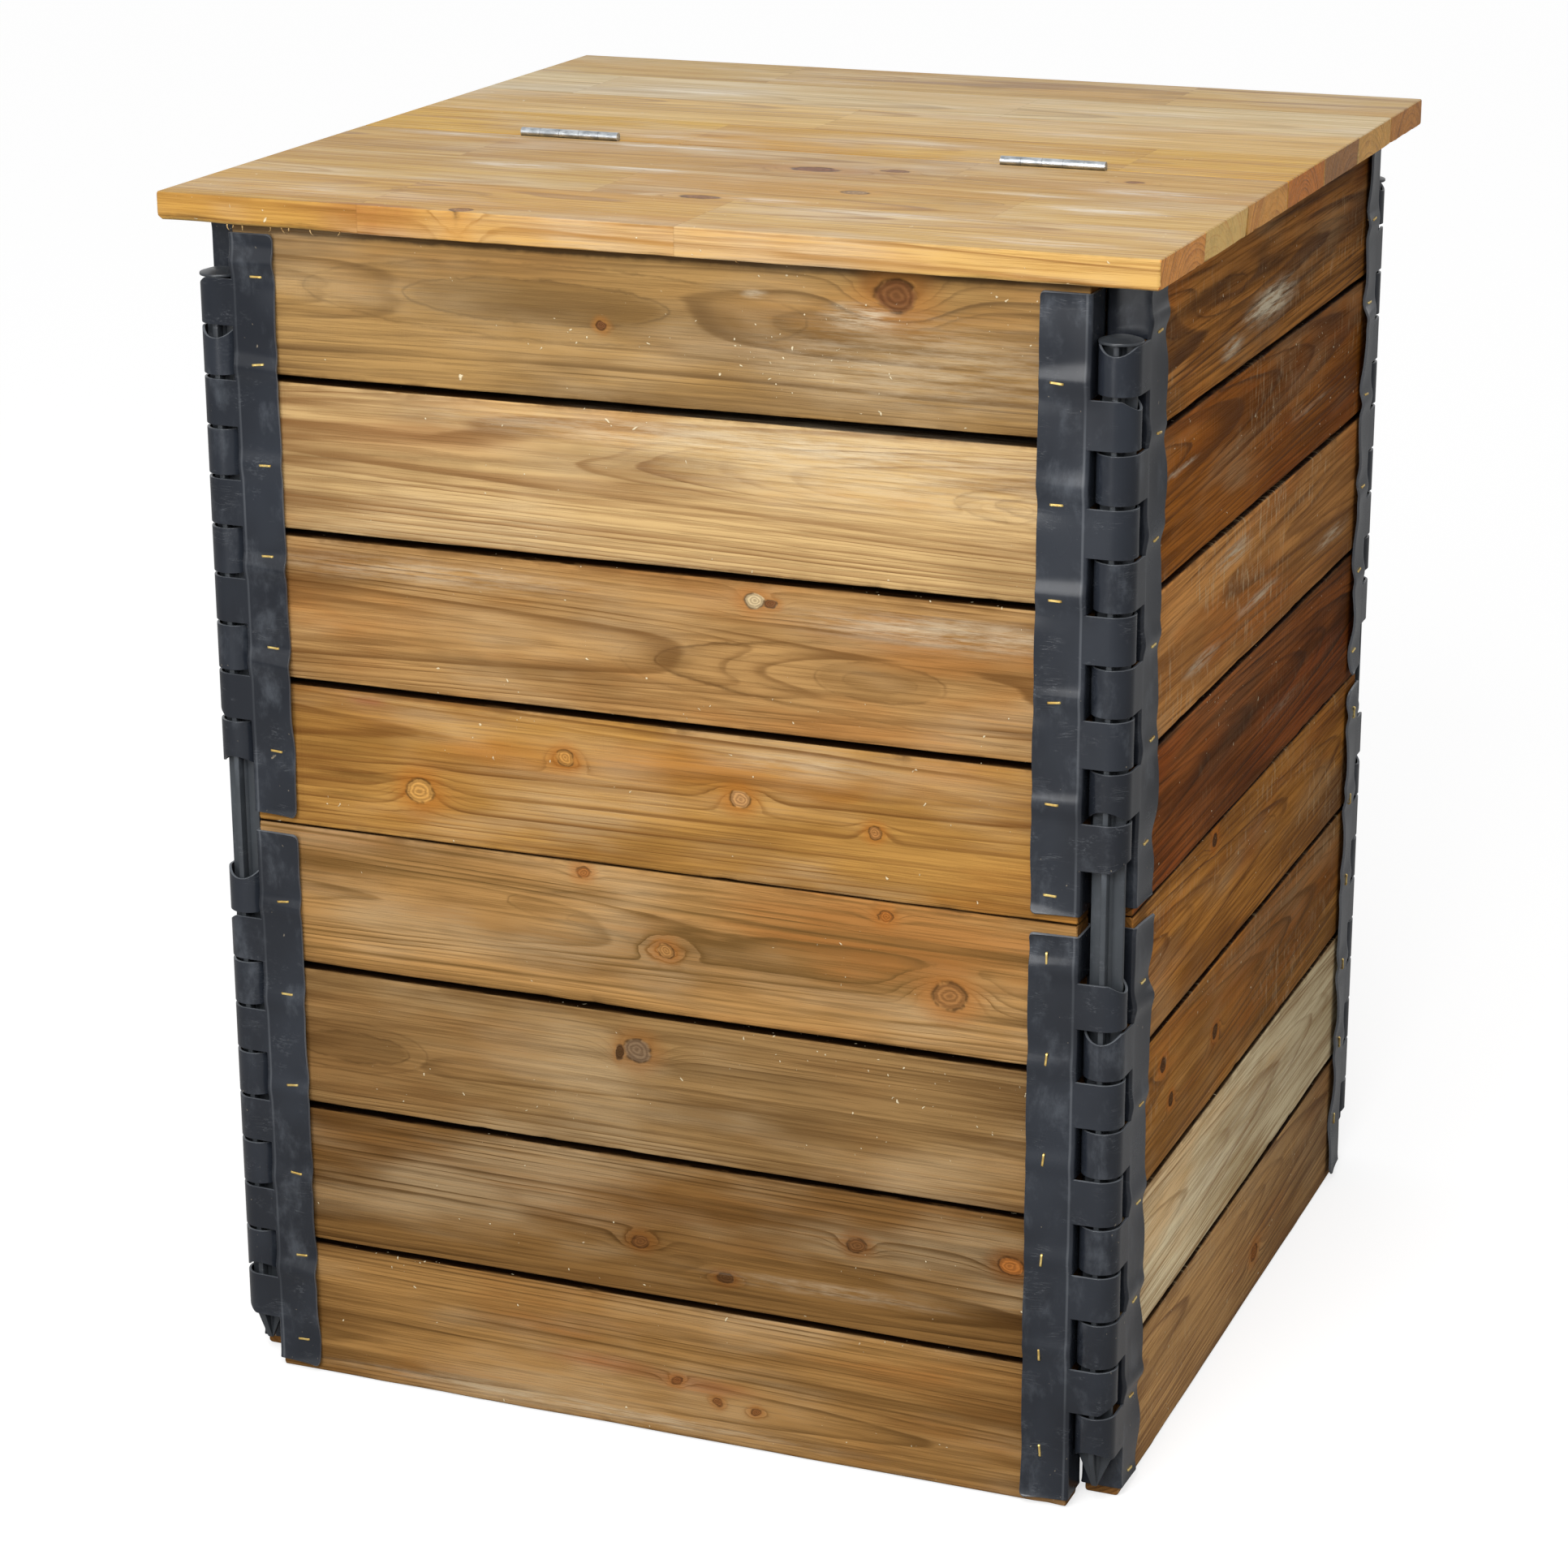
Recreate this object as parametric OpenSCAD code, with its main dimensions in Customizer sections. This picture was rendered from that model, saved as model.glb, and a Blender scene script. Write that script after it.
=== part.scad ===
// Wooden composter: two stacked tiers of boarded panels, joined at the corners by
// stapled plastic hinge strips and four long pins, with a two-part lid on top.
// Millimetres, +Z up. The origin is on the ground, midway between the four pins.
// The front panel faces -Y. Left and right ends are named as seen from outside.

/* [Panels] */
// Distance between the axes of neighbouring corner pins
pin_span = 584; // [480:1:900]
// Thickness of the boards
board_t = 22; // [18:1:30]
// Height of one board
board_h = 95; // [80:1:120]
// Gap left between the boards of one panel
board_gap = 3; // [1:0.5:6]
// Boards stacked in each panel
boards = 4; // [2:1:4]
// Radius of the eased long edges of the boards
arris_r = 2; // [0.5:0.25:4]

/* [Hinge strips] */
// Thickness of the plastic sheet
sheet_t = 2; // [1:0.25:3]
// Width of each flange that grips the board faces
flange_w = 29; // [22:1:45]
// Distance from the ends of a strip to the top and bottom of its panel
strip_margin = 6.5; // [0:0.5:15]
// Least distance from the knuckles to the ends of the strip
knuckle_margin = 20; // [10:1:40]
// Height of one step of the knuckles
knuckle_pitch = 32; // [26:1:40]
// Height left free between neighbouring knuckles
knuckle_gap = 2.6; // [1:0.2:5]
// Clearance between a knuckle and the folded sheet of the neighbouring panel
fold_clear = 0.5; // [0.3:0.1:2]
// Radius of the scoops in the first and last knuckles of a strip
scoop_r = 15; // [10:0.5:25]
// Depth of those scoops
scoop_depth = 6; // [2:0.5:10]

/* [Corner pins] */
// Clearance between the ribs of a pin and the bore of the knuckles
pin_clear = 0.7; // [0.3:0.1:2]
// Thickness of the crossed ribs
rib_t = 3.5; // [2:0.25:6]
// Radius of the solid core where the ribs cross
core_r = 4; // [2.5:0.25:6]
// Thickness of the head
head_t = 4; // [2:0.5:8]
// Distance that the head reaches past the knuckle that it rests on
head_over = 0.2; // [0:0.1:0.2]
// Height of the pointed end of a pin
tip_h = 20; // [8:1:40]
// Height of the pin's point above the ground
tip_z = 14; // [5:1:40]

/* [Staples] */
// Length of a staple's crown
crown_w = 9; // [6:0.5:14]
// Width of the flattened wire
wire_w = 1.3; // [0.8:0.1:2]
// Thickness of the flattened wire
wire_t = 0.9; // [0.5:0.1:1.5]
// Depth of the legs below the surface of the sheet
leg_len = 9; // [5:0.5:11]
// Distance from the end of the boards to the middle of the crown
staple_inset = 17; // [8:0.5:22]
// Distance between neighbouring staples of one strip
staple_pitch = 63; // [40:1:90]
// Distance from the top of the panel to the first staple, on strips stapled high
staple_high = 27; // [15:1:34]
// The same distance on strips stapled low
staple_low = 54; // [35:1:70]

/* [Lid] */
// Thickness of the lid panels
lid_t = 18; // [14:1:28]
// Depth of the opening flap, from its front edge to the seam
flap_depth = 278; // [200:1:380]
// Width of the seam between the flap and the rear panel
seam_w = 1; // [0.5:0.1:1.5]
// Overhang of the lid past the strips at the left and right
side_overhang = 16; // [2:1:40]
// Overhang of the lid past the strips at the front
front_overhang = 11; // [2:1:40]
// Overhang of the lid past the strips at the back
back_overhang = 22; // [2:1:60]
// Radius of the eased long edges of the lid panels
lid_arris_r = 1; // [0.5:0.25:3]

/* [Lid hinges] */
// Distance between the middles of the two hinges
hinge_span = 336; // [220:1:400]
// Length of a hinge
hinge_len = 70; // [50:1:90]
// Height of the hinge axis above the top of the lid
axis_rise = 2.2; // [1.5:0.1:4]
// Outer radius of the rolled knuckles
barrel_r = 3; // [2.5:0.1:4]
// Radius of the hinge pin
hinge_pin_r = 1.3; // [1:0.1:1.6]
// Radial clearance of the hinge pin in its knuckles
pin_bore_clear = 0.05; // [0.03:0.01:0.1]
// Knuckles in one hinge, an odd number
hinge_knuckles = 5; // [3:2:7]
// Play between neighbouring knuckles, and between knuckles and leaves
knuckle_play = 0.2; // [0.1:0.05:0.5]
// Thickness of a leaf
leaf_t = 1.2; // [0.8:0.1:2]
// Height of a leaf below the top of the lid
leaf_h = 15; // [11:0.5:16]
// Distance between the two leaves of a closed hinge
leaf_gap = 0.8; // [0.6:0.1:1.2]
// Clearance round a hinge in its pocket
pocket_clear = 0.3; // [0.2:0.1:1]

/* [Hinge screws] */
// Screws in one leaf
leaf_screws = 3; // [2:1:4]
// Distance between neighbouring screws
screw_pitch = 24; // [14:1:28]
// Radius of the shank
screw_r = 1.4; // [1:0.1:1.8]
// Radius of the countersunk head
screw_head_r = 2.7; // [2.2:0.1:3.2]
// Length of a screw
screw_len = 16; // [10:1:30]
// Clearance between a screw's head and its countersink
sink_clear = 0.05; // [0.02:0.01:0.1]
// Width of the crossed slots in the head
slot_w = 0.6; // [0.4:0.1:0.8]
// Depth of those slots
slot_depth = 0.5; // [0.3:0.1:0.7]

/* [Hidden] */
$fn = 48;
// How far a cut runs past the face that it opens
cut_over = 1;
tiers = ["lower", "upper"];
sides = ["front", "right", "back", "left"];
ends = ["left", "right"];
corners = ["front_left", "front_right", "back_right", "back_left"];

// Heights of a tier, its strips and its knuckles
tier_h = boards * board_h + (boards - 1) * board_gap;
strip_h = tier_h - 2 * strip_margin;
knuckles = 2 * floor((strip_h - 2 * knuckle_margin) / (2 * knuckle_pitch));
zone_h = knuckles * knuckle_pitch;
zone_z = (tier_h - zone_h) / 2;
knuckle_h = knuckle_pitch - knuckle_gap;

// Plan of a corner, measured from the pin axis
bore_r = board_t / 2;
loop_r = bore_r + sheet_t;
end_gap = loop_r + fold_clear + sheet_t;
board_len = pin_span - 2 * end_gap;
body_half = pin_span / 2 + loop_r;

// Pins
rib_w = 2 * (bore_r - pin_clear);
head_z = tier_h + zone_z + zone_h - knuckle_gap / 2;

// Lid and its hinges
lid_z = len(tiers) * tier_h;
lid_top = lid_z + lid_t;
lid_w = 2 * (body_half + side_overhang);
lid_front = -body_half - front_overhang;
lid_back = body_half + back_overhang;
seam_y = lid_front + flap_depth;
leaf_back = leaf_gap / 2 + leaf_t;
barrel_len = hinge_len / hinge_knuckles;
plate_top = -barrel_r - knuckle_play;
plate_bottom = -axis_rise - leaf_h;
screw_z = (plate_top + plate_bottom) / 2;

// Colours
wood_tones = ["#8c7048", "#a97b45", "#a5763f", "#ad7c3f", "#94713f", "#8e7349", "#876a42", "#98733f"];
pale_wood = "#b9a37c";
shaded_wood = "#7a5a38";
lid_tone = "#c49a5c";
plastic = "#3b3e43";
brass = "#c9a94f";
steel = "#b8bcc0";

function board_name(tier, side, n) = str(tier, "_", side, "_board_", n);
function strip_name(tier, side, end) = str(tier, "_", side, "_strip_", end);
function pin_name(corner) = str("pin_", corner);

// Index of a name in a list of names
function place_of(name, names) = [for (i = [0 : len(names) - 1]) if (names[i] == name) i][0];

function board_colour(tier, side, n) =
    tier == "lower" && side == "right" && n == boards - 1 ? pale_wood
    : side == "right" ? shaded_wood
    : wood_tones[(place_of(tier, tiers) == 1 ? 0 : boards) + n - 1];

// The upper tier's panels start with a knuckle at their left end. The lower tier is the
// same collar turned upside down, so its panels start with one at their right end.
function first_knuckle(tier, end) = (tier == "upper") == (end == "left") ? 1 : 2;

// Height of the bottom of knuckle i in its tier, counted from the top
function knuckle_z(i) = zone_z + zone_h - i * knuckle_pitch + knuckle_gap / 2;

// Heights of the staples of one strip in its tier
function staple_heights(tier, end) =
    let (start = (tier == "upper") == (end == "left") ? staple_high : staple_low)
    [for (d = [start : staple_pitch : tier_h - strip_margin - crown_w / 2]) tier_h - d];

// Moves a child from a corner-centred panel frame to the named side, tier and end:
// u runs along the panel from the pin, the outer face looks to -Y
module at_end(tier, side, end) {
    rotate(90 * place_of(side, sides))
        mirror([end == "right" ? 1 : 0, 0, 0])
            translate([-pin_span / 2, -pin_span / 2, place_of(tier, tiers) * tier_h])
                children();
}

// Rectangle with eased corners, centred
module eased_rect(w, h, r) {
    square([w - 2 * r, h], center = true);
    square([w, h - 2 * r], center = true);
    for (x = [-1, 1], y = [-1, 1])
        translate([x * (w / 2 - r), y * (h / 2 - r)])
            circle(r);
}

module board(tier, side, n) {
    z = place_of(tier, tiers) * tier_h + (boards - n) * (board_h + board_gap);
    color(board_colour(tier, side, n))
        rotate(90 * place_of(side, sides))
            translate([0, -pin_span / 2, z + board_h / 2])
                rotate([90, 0, 90])
                    linear_extrude(board_len, center = true)
                        eased_rect(board_t, board_h, arris_r);
}

// Sheet folded flat round the end of the boards
module fold_profile() {
    difference() {
        union() {
            translate([end_gap - sheet_t, -bore_r])
                square([sheet_t + flange_w, board_t]);
            translate([end_gap, -loop_r])
                square([flange_w, 2 * loop_r]);
            for (y = [-1, 1])
                translate([end_gap, y * bore_r])
                    circle(sheet_t);
        }
        translate([end_gap, -bore_r])
            square([flange_w + cut_over, board_t]);
    }
}

// Sheet looped round the pin
module loop_profile() {
    difference() {
        union() {
            circle(loop_r);
            translate([0, -loop_r])
                square([end_gap + flange_w, 2 * loop_r]);
        }
        circle(bore_r);
        translate([0, -bore_r])
            square([end_gap + flange_w + cut_over, board_t]);
    }
}

// Scoop in the nose of a knuckle, cut upwards or downwards from its edge
module scoop(edge_z, up) {
    translate([-loop_r - cut_over, 0, edge_z + up * (scoop_r - scoop_depth)])
        rotate([0, 90, 0])
            cylinder(h = loop_r + cut_over + sheet_t, r = scoop_r);
}

module strip(tier, side, end) {
    first = first_knuckle(tier, end);
    last = first + 2 * floor((knuckles - first) / 2);
    color(plastic)
        at_end(tier, side, end)
            difference() {
                union() {
                    difference() {
                        translate([0, 0, strip_margin])
                            linear_extrude(strip_h)
                                fold_profile();
                        for (i = [first : 2 : last])
                            translate([0, -loop_r - cut_over, knuckle_z(i)])
                                cube([end_gap, 2 * (loop_r + cut_over), knuckle_h]);
                    }
                    for (i = [first : 2 : last])
                        translate([0, 0, knuckle_z(i)])
                            linear_extrude(knuckle_h)
                                loop_profile();
                }
                scoop(knuckle_z(first) + knuckle_h, 1);
                scoop(knuckle_z(last), -1);
            }
}

// Upright blade with a pointed foot
module blade() {
    rotate([90, 0, 0])
        linear_extrude(rib_t, center = true)
            polygon([
                [0, tip_z], [rib_w / 2, tip_z + tip_h], [rib_w / 2, head_z],
                [-rib_w / 2, head_z], [-rib_w / 2, tip_z + tip_h],
            ]);
}

module corner_pin(corner) {
    head_r = loop_r + head_over;
    color(plastic)
        rotate(90 * place_of(corner, corners))
            translate([-pin_span / 2, -pin_span / 2, 0]) {
                blade();
                rotate(90)
                    blade();
                translate([0, 0, tip_z + tip_h])
                    cylinder(h = head_z - tip_z - tip_h, r = core_r);
                translate([0, 0, head_z])
                    cylinder(h = head_t / 2, r = head_r);
                translate([0, 0, head_z + head_t / 2])
                    cylinder(h = head_t / 2, r1 = head_r, r2 = head_r / 2);
            }
}

// Staple whose crown lies on a surface that looks to -Y, legs to +Y
module staple(upright) {
    outer = crown_w / 2;
    inner = outer - wire_t;
    rotate([0, upright ? 90 : 0, 0])
        linear_extrude(wire_w, center = true)
            polygon([
                [-outer, -wire_t], [outer, -wire_t], [outer, leg_len], [inner, leg_len],
                [inner, 0], [-inner, 0], [-inner, leg_len], [-outer, leg_len],
            ]);
}

module staples() {
    color(brass)
        for (tier = tiers, side = sides, end = ends)
            at_end(tier, side, end)
                for (z = staple_heights(tier, end), face = [-1, 1])
                    translate([end_gap + staple_inset, face * loop_r, z])
                        mirror([0, face > 0 ? 1 : 0, 0])
                            staple(tier == "lower" && end == "right");
}

// Pockets for the hinges in the seam edges of the lid panels
module hinge_pockets() {
    pocket_len = hinge_len + 2 * pocket_clear;
    pocket_h = leaf_h + pocket_clear;
    for (side = [-1, 1])
        translate([side * hinge_span / 2, seam_y, lid_top]) {
            translate([-pocket_len / 2, -leaf_back, -pocket_h])
                cube([pocket_len, 2 * leaf_back, pocket_h + cut_over]);
            translate([-pocket_len / 2, 0, axis_rise])
                rotate([0, 90, 0])
                    cylinder(h = pocket_len, r = barrel_r + pocket_clear);
        }
}

module lid_panel(y0, y1) {
    color(lid_tone)
        difference() {
            translate([0, (y0 + y1) / 2, lid_z + lid_t / 2])
                rotate([90, 0, 90])
                    linear_extrude(lid_w, center = true)
                        eased_rect(y1 - y0, lid_t, lid_arris_r);
            hinge_pockets();
        }
}

module lid_rear_panel() {
    lid_panel(seam_y + seam_w / 2, lid_back);
}

module lid_flap_panel() {
    lid_panel(lid_front, seam_y - seam_w / 2);
}

// Places a child at both hinge axes, for the rear half or turned round for the flap
module at_hinges(flap = false) {
    for (side = [-1, 1])
        translate([side * hinge_span / 2, seam_y, lid_top + axis_rise])
            mirror([0, flap ? 1 : 0, 0])
                children();
}

// Places a child at each screw of a leaf
module at_screws() {
    for (i = [0 : leaf_screws - 1])
        translate([(i - (leaf_screws - 1) / 2) * screw_pitch, leaf_gap / 2, screw_z])
            rotate([-90, 0, 0])
                children();
}

// Leaf with its rolled knuckles, counted from knuckle number first
module hinge_leaf(first) {
    difference() {
        union() {
            translate([-hinge_len / 2, leaf_gap / 2, plate_bottom])
                cube([hinge_len, leaf_t, plate_top - plate_bottom]);
            for (i = [first : 2 : hinge_knuckles - 1])
                translate([-hinge_len / 2 + i * barrel_len + knuckle_play / 2, 0, 0]) {
                    rotate([0, 90, 0])
                        cylinder(h = barrel_len - knuckle_play, r = barrel_r);
                    translate([0, leaf_gap / 2, plate_top])
                        cube([barrel_len - knuckle_play, leaf_t, -plate_top]);
                }
        }
        translate([-hinge_len / 2 - cut_over, 0, 0])
            rotate([0, 90, 0])
                cylinder(h = hinge_len + 2 * cut_over, r = hinge_pin_r + pin_bore_clear);
        at_screws()
            cylinder(h = leaf_t, r1 = screw_head_r + sink_clear, r2 = screw_r + sink_clear);
    }
}

module rear_hinge_leaves() {
    color(steel)
        at_hinges()
            hinge_leaf(0);
}

module flap_hinge_leaves() {
    color(steel)
        at_hinges(flap = true)
            hinge_leaf(1);
}

module hinge_pins() {
    color(steel)
        at_hinges()
            translate([-hinge_len / 2, 0, 0])
                rotate([0, 90, 0])
                    cylinder(h = hinge_len, r = hinge_pin_r);
}

module hinge_screw() {
    difference() {
        union() {
            cylinder(h = leaf_t, r1 = screw_head_r, r2 = screw_r);
            cylinder(h = screw_len - screw_r, r = screw_r);
            translate([0, 0, screw_len - screw_r])
                cylinder(h = screw_r, r1 = screw_r, r2 = screw_r / 4);
        }
        for (turn = [0, 90])
            rotate(turn)
                translate([-screw_r, -slot_w / 2, -cut_over])
                    cube([2 * screw_r, slot_w, slot_depth + cut_over]);
    }
}

module rear_hinge_screws() {
    color(steel)
        at_hinges()
            at_screws()
                hinge_screw();
}

module flap_hinge_screws() {
    color(steel)
        at_hinges(flap = true)
            at_screws()
                hinge_screw();
}

for (tier = tiers, side = sides, n = [1 : boards])
    board(tier, side, n);
for (tier = tiers, side = sides, end = ends)
    strip(tier, side, end);
for (corner = corners)
    corner_pin(corner);
staples();
lid_rear_panel();
lid_flap_panel();
rear_hinge_leaves();
flap_hinge_leaves();
hinge_pins();
rear_hinge_screws();
flap_hinge_screws();
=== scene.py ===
import math
import random
from itertools import product

import bmesh
import bpy
from mathutils import Matrix, Vector, noise


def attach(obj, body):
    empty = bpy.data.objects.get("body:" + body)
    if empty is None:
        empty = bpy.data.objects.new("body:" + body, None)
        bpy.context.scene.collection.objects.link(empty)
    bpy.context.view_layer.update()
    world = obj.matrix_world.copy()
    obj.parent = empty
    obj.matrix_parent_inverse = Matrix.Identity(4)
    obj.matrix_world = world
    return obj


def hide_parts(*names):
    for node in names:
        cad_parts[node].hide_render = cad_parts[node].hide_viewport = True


# Wooden composter: two tiers of boarded panels on plastic corner hinges, with a loose lid
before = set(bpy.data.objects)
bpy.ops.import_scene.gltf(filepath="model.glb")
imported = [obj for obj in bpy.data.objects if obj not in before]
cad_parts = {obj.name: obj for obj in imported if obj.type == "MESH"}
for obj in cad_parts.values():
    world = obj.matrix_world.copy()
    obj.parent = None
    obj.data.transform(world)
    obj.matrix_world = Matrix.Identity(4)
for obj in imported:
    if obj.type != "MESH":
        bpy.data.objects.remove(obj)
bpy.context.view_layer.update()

mm = 0.001
sides = ("front", "right", "back", "left")
tiers = ("lower", "upper")
panelReach = 292     # from the middle to the panels' and the pins' axes, mm
tierHeight = 389     # from one tier's foot to the next one's, mm
pinPlaces = {"front_left": (-panelReach, -panelReach), "front_right": (panelReach, -panelReach),
             "back_right": (panelReach, panelReach), "back_left": (-panelReach, panelReach)}


# Shader arithmetic: each operator between wires adds one math node to their graph
class Wire:
    def __init__(self, graph, socket):
        self.graph = graph
        self.socket = socket

    def __add__(self, other):
        return self.graph.calc("ADD", self, other)

    def __sub__(self, other):
        return self.graph.calc("SUBTRACT", self, other)

    def __rsub__(self, other):
        return self.graph.calc("SUBTRACT", other, self)

    def __mul__(self, other):
        return self.graph.calc("MULTIPLY", self, other)

    def __truediv__(self, other):
        return self.graph.calc("DIVIDE", self, other)

    def __rtruediv__(self, other):
        return self.graph.calc("DIVIDE", other, self)

    def __pow__(self, other):
        return self.graph.calc("POWER", self, other)

    def __abs__(self):
        return self.graph.calc("ABSOLUTE", self)


class Wires:
    def __init__(self, graph, sockets):
        self.graph = graph
        self.sockets = sockets

    def __getitem__(self, key):
        return Wire(self.graph, self.sockets[key])


class Graph:
    def __init__(self, tree, exits=None):
        self.tree = tree
        self.exits = exits

    def plug(self, value, socket):
        if isinstance(value, Wire):
            self.tree.links.new(value.socket, socket)
        else:
            socket.default_value = value

    def give(self, label, value):
        self.plug(value, self.exits[label])

    def node(self, kind, inputs, **settings):
        made = self.tree.nodes.new("ShaderNode" + kind)
        for name, value in settings.items():
            setattr(made, name, value)
        for key, value in inputs.items():
            self.plug(value, made.inputs[key])
        return Wires(self, made.outputs)

    def calc(self, operation, *values):
        return self.node("Math", dict(enumerate(values)), operation=operation)[0]

    def vector(self, operation, *values):
        return self.node("VectorMath", dict(enumerate(values)), operation=operation)[0]

    def apart(self, vector):
        parts = self.node("SeparateXYZ", {0: vector})
        return parts[0], parts[1], parts[2]

    def root(self, value):
        return self.calc("SQRT", value)

    def higher(self, first, second):
        return self.calc("MAXIMUM", first, second)

    # Falls off as a bell curve round zero
    def bell(self, value):
        return self.calc("EXPONENT", value * value * -1.0)

    def remap(self, value, low, high, toLow=0.0, toHigh=1.0):
        places = {"Value": value, "From Min": low, "From Max": high, "To Min": toLow, "To Max": toHigh}
        return self.node("MapRange", places, interpolation_type="SMOOTHSTEP")[0]

    def mix(self, factor, first, second, how="MIX"):
        return self.node("Mix", {0: factor, 6: first, 7: second}, data_type="RGBA", blend_type=how)[2]

    def noise(self, place, stretch, detail=2.0, rough=0.5, gives="Fac"):
        if isinstance(stretch, float):
            stretch = (stretch, stretch, stretch)
        spread = self.vector("MULTIPLY", place, stretch)
        inputs = {"Vector": spread, "Scale": 1.0, "Detail": detail, "Roughness": rough}
        return self.node("TexNoise", inputs)[gives]

    def noiseAlong(self, value, detail):
        inputs = {"W": value, "Scale": 1.0, "Detail": detail}
        return self.node("TexNoise", inputs, noise_dimensions="1D")["Fac"]

    # Noise as a vector round zero, to shift a place by
    def shake(self, place, stretch, detail, rough, reach):
        moved = self.vector("SUBTRACT", self.noise(place, stretch, detail, rough, "Color"), (0.5, 0.5, 0.5))
        return self.vector("MULTIPLY", moved, reach)

    def dress(self, shader, tint, rough, height, strength, depth):
        bump = self.node("Bump", {"Strength": strength, "Distance": depth, "Height": height})
        for label, value in (("Base Color", tint), ("Roughness", rough), ("Normal", bump["Normal"])):
            self.plug(value, shader[label])

    def use(self, group, inputs):
        return self.node("Group", inputs, node_tree=group)


def newGroup(name, takes, gives):
    group = bpy.data.node_groups.new(name, "ShaderNodeTree")
    for label in ("Place", *takes):
        kind = "NodeSocketVector" if label == "Place" else "NodeSocketFloat"
        group.interface.new_socket(label, in_out="INPUT", socket_type=kind)
    for label in gives:
        group.interface.new_socket(label, in_out="OUTPUT", socket_type="NodeSocketFloat")
    enter = group.nodes.new("NodeGroupInput").outputs
    graph = Graph(group, group.nodes.new("NodeGroupOutput").inputs)
    return graph, Wires(graph, enter)


def newMaterial(name):
    made = bpy.data.materials.new(name)
    made.use_nodes = True
    return made, Graph(made.node_tree), made.node_tree.nodes["Principled BSDF"].inputs


def colour(text, scale=(1, 1, 1)):
    parts = [int(text[i:i + 2], 16) / 255 for i in (1, 3, 5)]
    parts = [p / 12.92 if p <= 0.04045 else ((p + 0.055) / 1.055) ** 2.4 for p in parts]
    return tuple(part * by for part, by in zip(parts, scale)) + (1.0,)


# Shader node groups
def makeGrowthRings():
    takes = ("Pith Depth", "Pith Height", "Ring Width", "Taper", "Wander", "Push", "Seed")
    g, enter = newGroup("growthRings", takes, ("Late Wood", "Line", "Fibre", "Streak", "Tone"))
    seed = enter["Seed"]
    seedPlace = g.node("CombineXYZ", {"X": seed, "Y": seed * 1.7, "Z": seed})[0]

    def field(place, stretch, detail, rough, gives="Fac"):
        seeded = g.vector("ADD", g.vector("MULTIPLY", place, stretch), seedPlace)
        return g.noise(seeded, 1.0, detail, rough, gives)

    def shifted(stretch, detail, amount):
        moved = g.vector("SUBTRACT", field(enter["Place"], stretch, detail, 0.5, "Color"), (0.5, 0.5, 0.5))
        return g.node("VectorMath", {0: moved, "Scale": amount}, operation="SCALE")[0]

    drift = shifted((1.7, 5.0, 5.0), 1.0, enter["Wander"])
    ripple = shifted((9.0, 75.0, 75.0), 4.0, 1.5 * mm)
    bent = g.vector("ADD", enter["Place"], g.vector("ADD", drift, ripple))
    x, y, z = g.apart(bent)
    depth = enter["Pith Depth"] - y + enter["Taper"] * x
    height = z - enter["Pith Height"]
    phase = g.root(depth * depth + height * height) / enter["Ring Width"] + enter["Push"]
    phase = phase + g.noiseAlong(phase * 0.4 + seed, 1.0) * 2.2
    turn = g.calc("FRACT", phase)
    bold = g.remap(g.noiseAlong(g.calc("FLOOR", phase) * 0.61 + seed, 0.0), 0.3, 0.7)
    rise = g.remap(turn, 0.02, 0.9) ** (bold * -3.6 + 5.2)
    fall = g.remap(turn, 1.0, 0.9)
    patchy = g.remap(field(enter["Place"], (5.0, 30.0, 30.0), 3.0, 0.6), 0.34, 0.62, 0.25, 1.0)
    level = (bold * 0.6 + 0.4) * patchy
    g.give("Late Wood", rise * fall * level)
    g.give("Line", g.remap(turn, 0.66, 0.88) * fall * level)
    g.give("Fibre", field(bent, (9.0, 480.0, 480.0), 4.0, 0.66))
    g.give("Streak", field(bent, (2.6, 80.0, 80.0), 5.0, 0.62))
    g.give("Tone", field(enter["Place"], (3.4, 20.0, 20.0), 4.0, 0.6))
    return g.tree


spotPlace = ("X", "Height", "Half Width", "Half Height")


# How far a place is from a spot's middle, in half widths and half heights
def offsets(g, enter):
    x, y, z = g.apart(enter["Place"])
    return (x - enter["X"]) / enter["Half Width"], (z - enter["Height"]) / enter["Half Height"]


def makeKnotEye():
    takes = ("Bend", "Push", "Rim", "Ring", "Halo")
    g, enter = newGroup("knotEye", spotPlace + takes, ("Push", "Core", "Rim", "Ring", "Halo"))
    across, up = offsets(g, enter)
    away = g.root(across * across + up * up)
    wide = across * 0.42
    bump = g.calc("EXPONENT", (wide * wide + up * up * 0.5) * -1.0)
    g.give("Push", enter["Push"] + bump * enter["Bend"])
    core = g.remap(away, 1.12, 0.82)
    g.give("Core", core)
    broken = g.remap(g.noise(enter["Place"], 130.0, 2.0, 0.6), 0.34, 0.56)
    g.give("Rim", g.higher(enter["Rim"], g.bell((away - 0.96) / 0.14) * broken))
    wave = g.calc("SINE", away * 19.0) * 0.5 + 0.5
    heart = g.remap(away, 0.3, 0.08)
    g.give("Ring", g.higher(enter["Ring"], g.higher(wave, heart) * core))
    g.give("Halo", g.higher(enter["Halo"], g.remap(away, 2.8, 0.9) * (1.0 - core)))
    return g.tree


def makeSoftSpot():
    g, enter = newGroup("softSpot", spotPlace + ("Strength", "Mask"), ("Mask",))
    across, up = offsets(g, enter)
    away = g.root(across * across + up * up)
    g.give("Mask", enter["Mask"] + g.remap(away, 1.25, 0.15) * enter["Strength"])
    return g.tree


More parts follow.
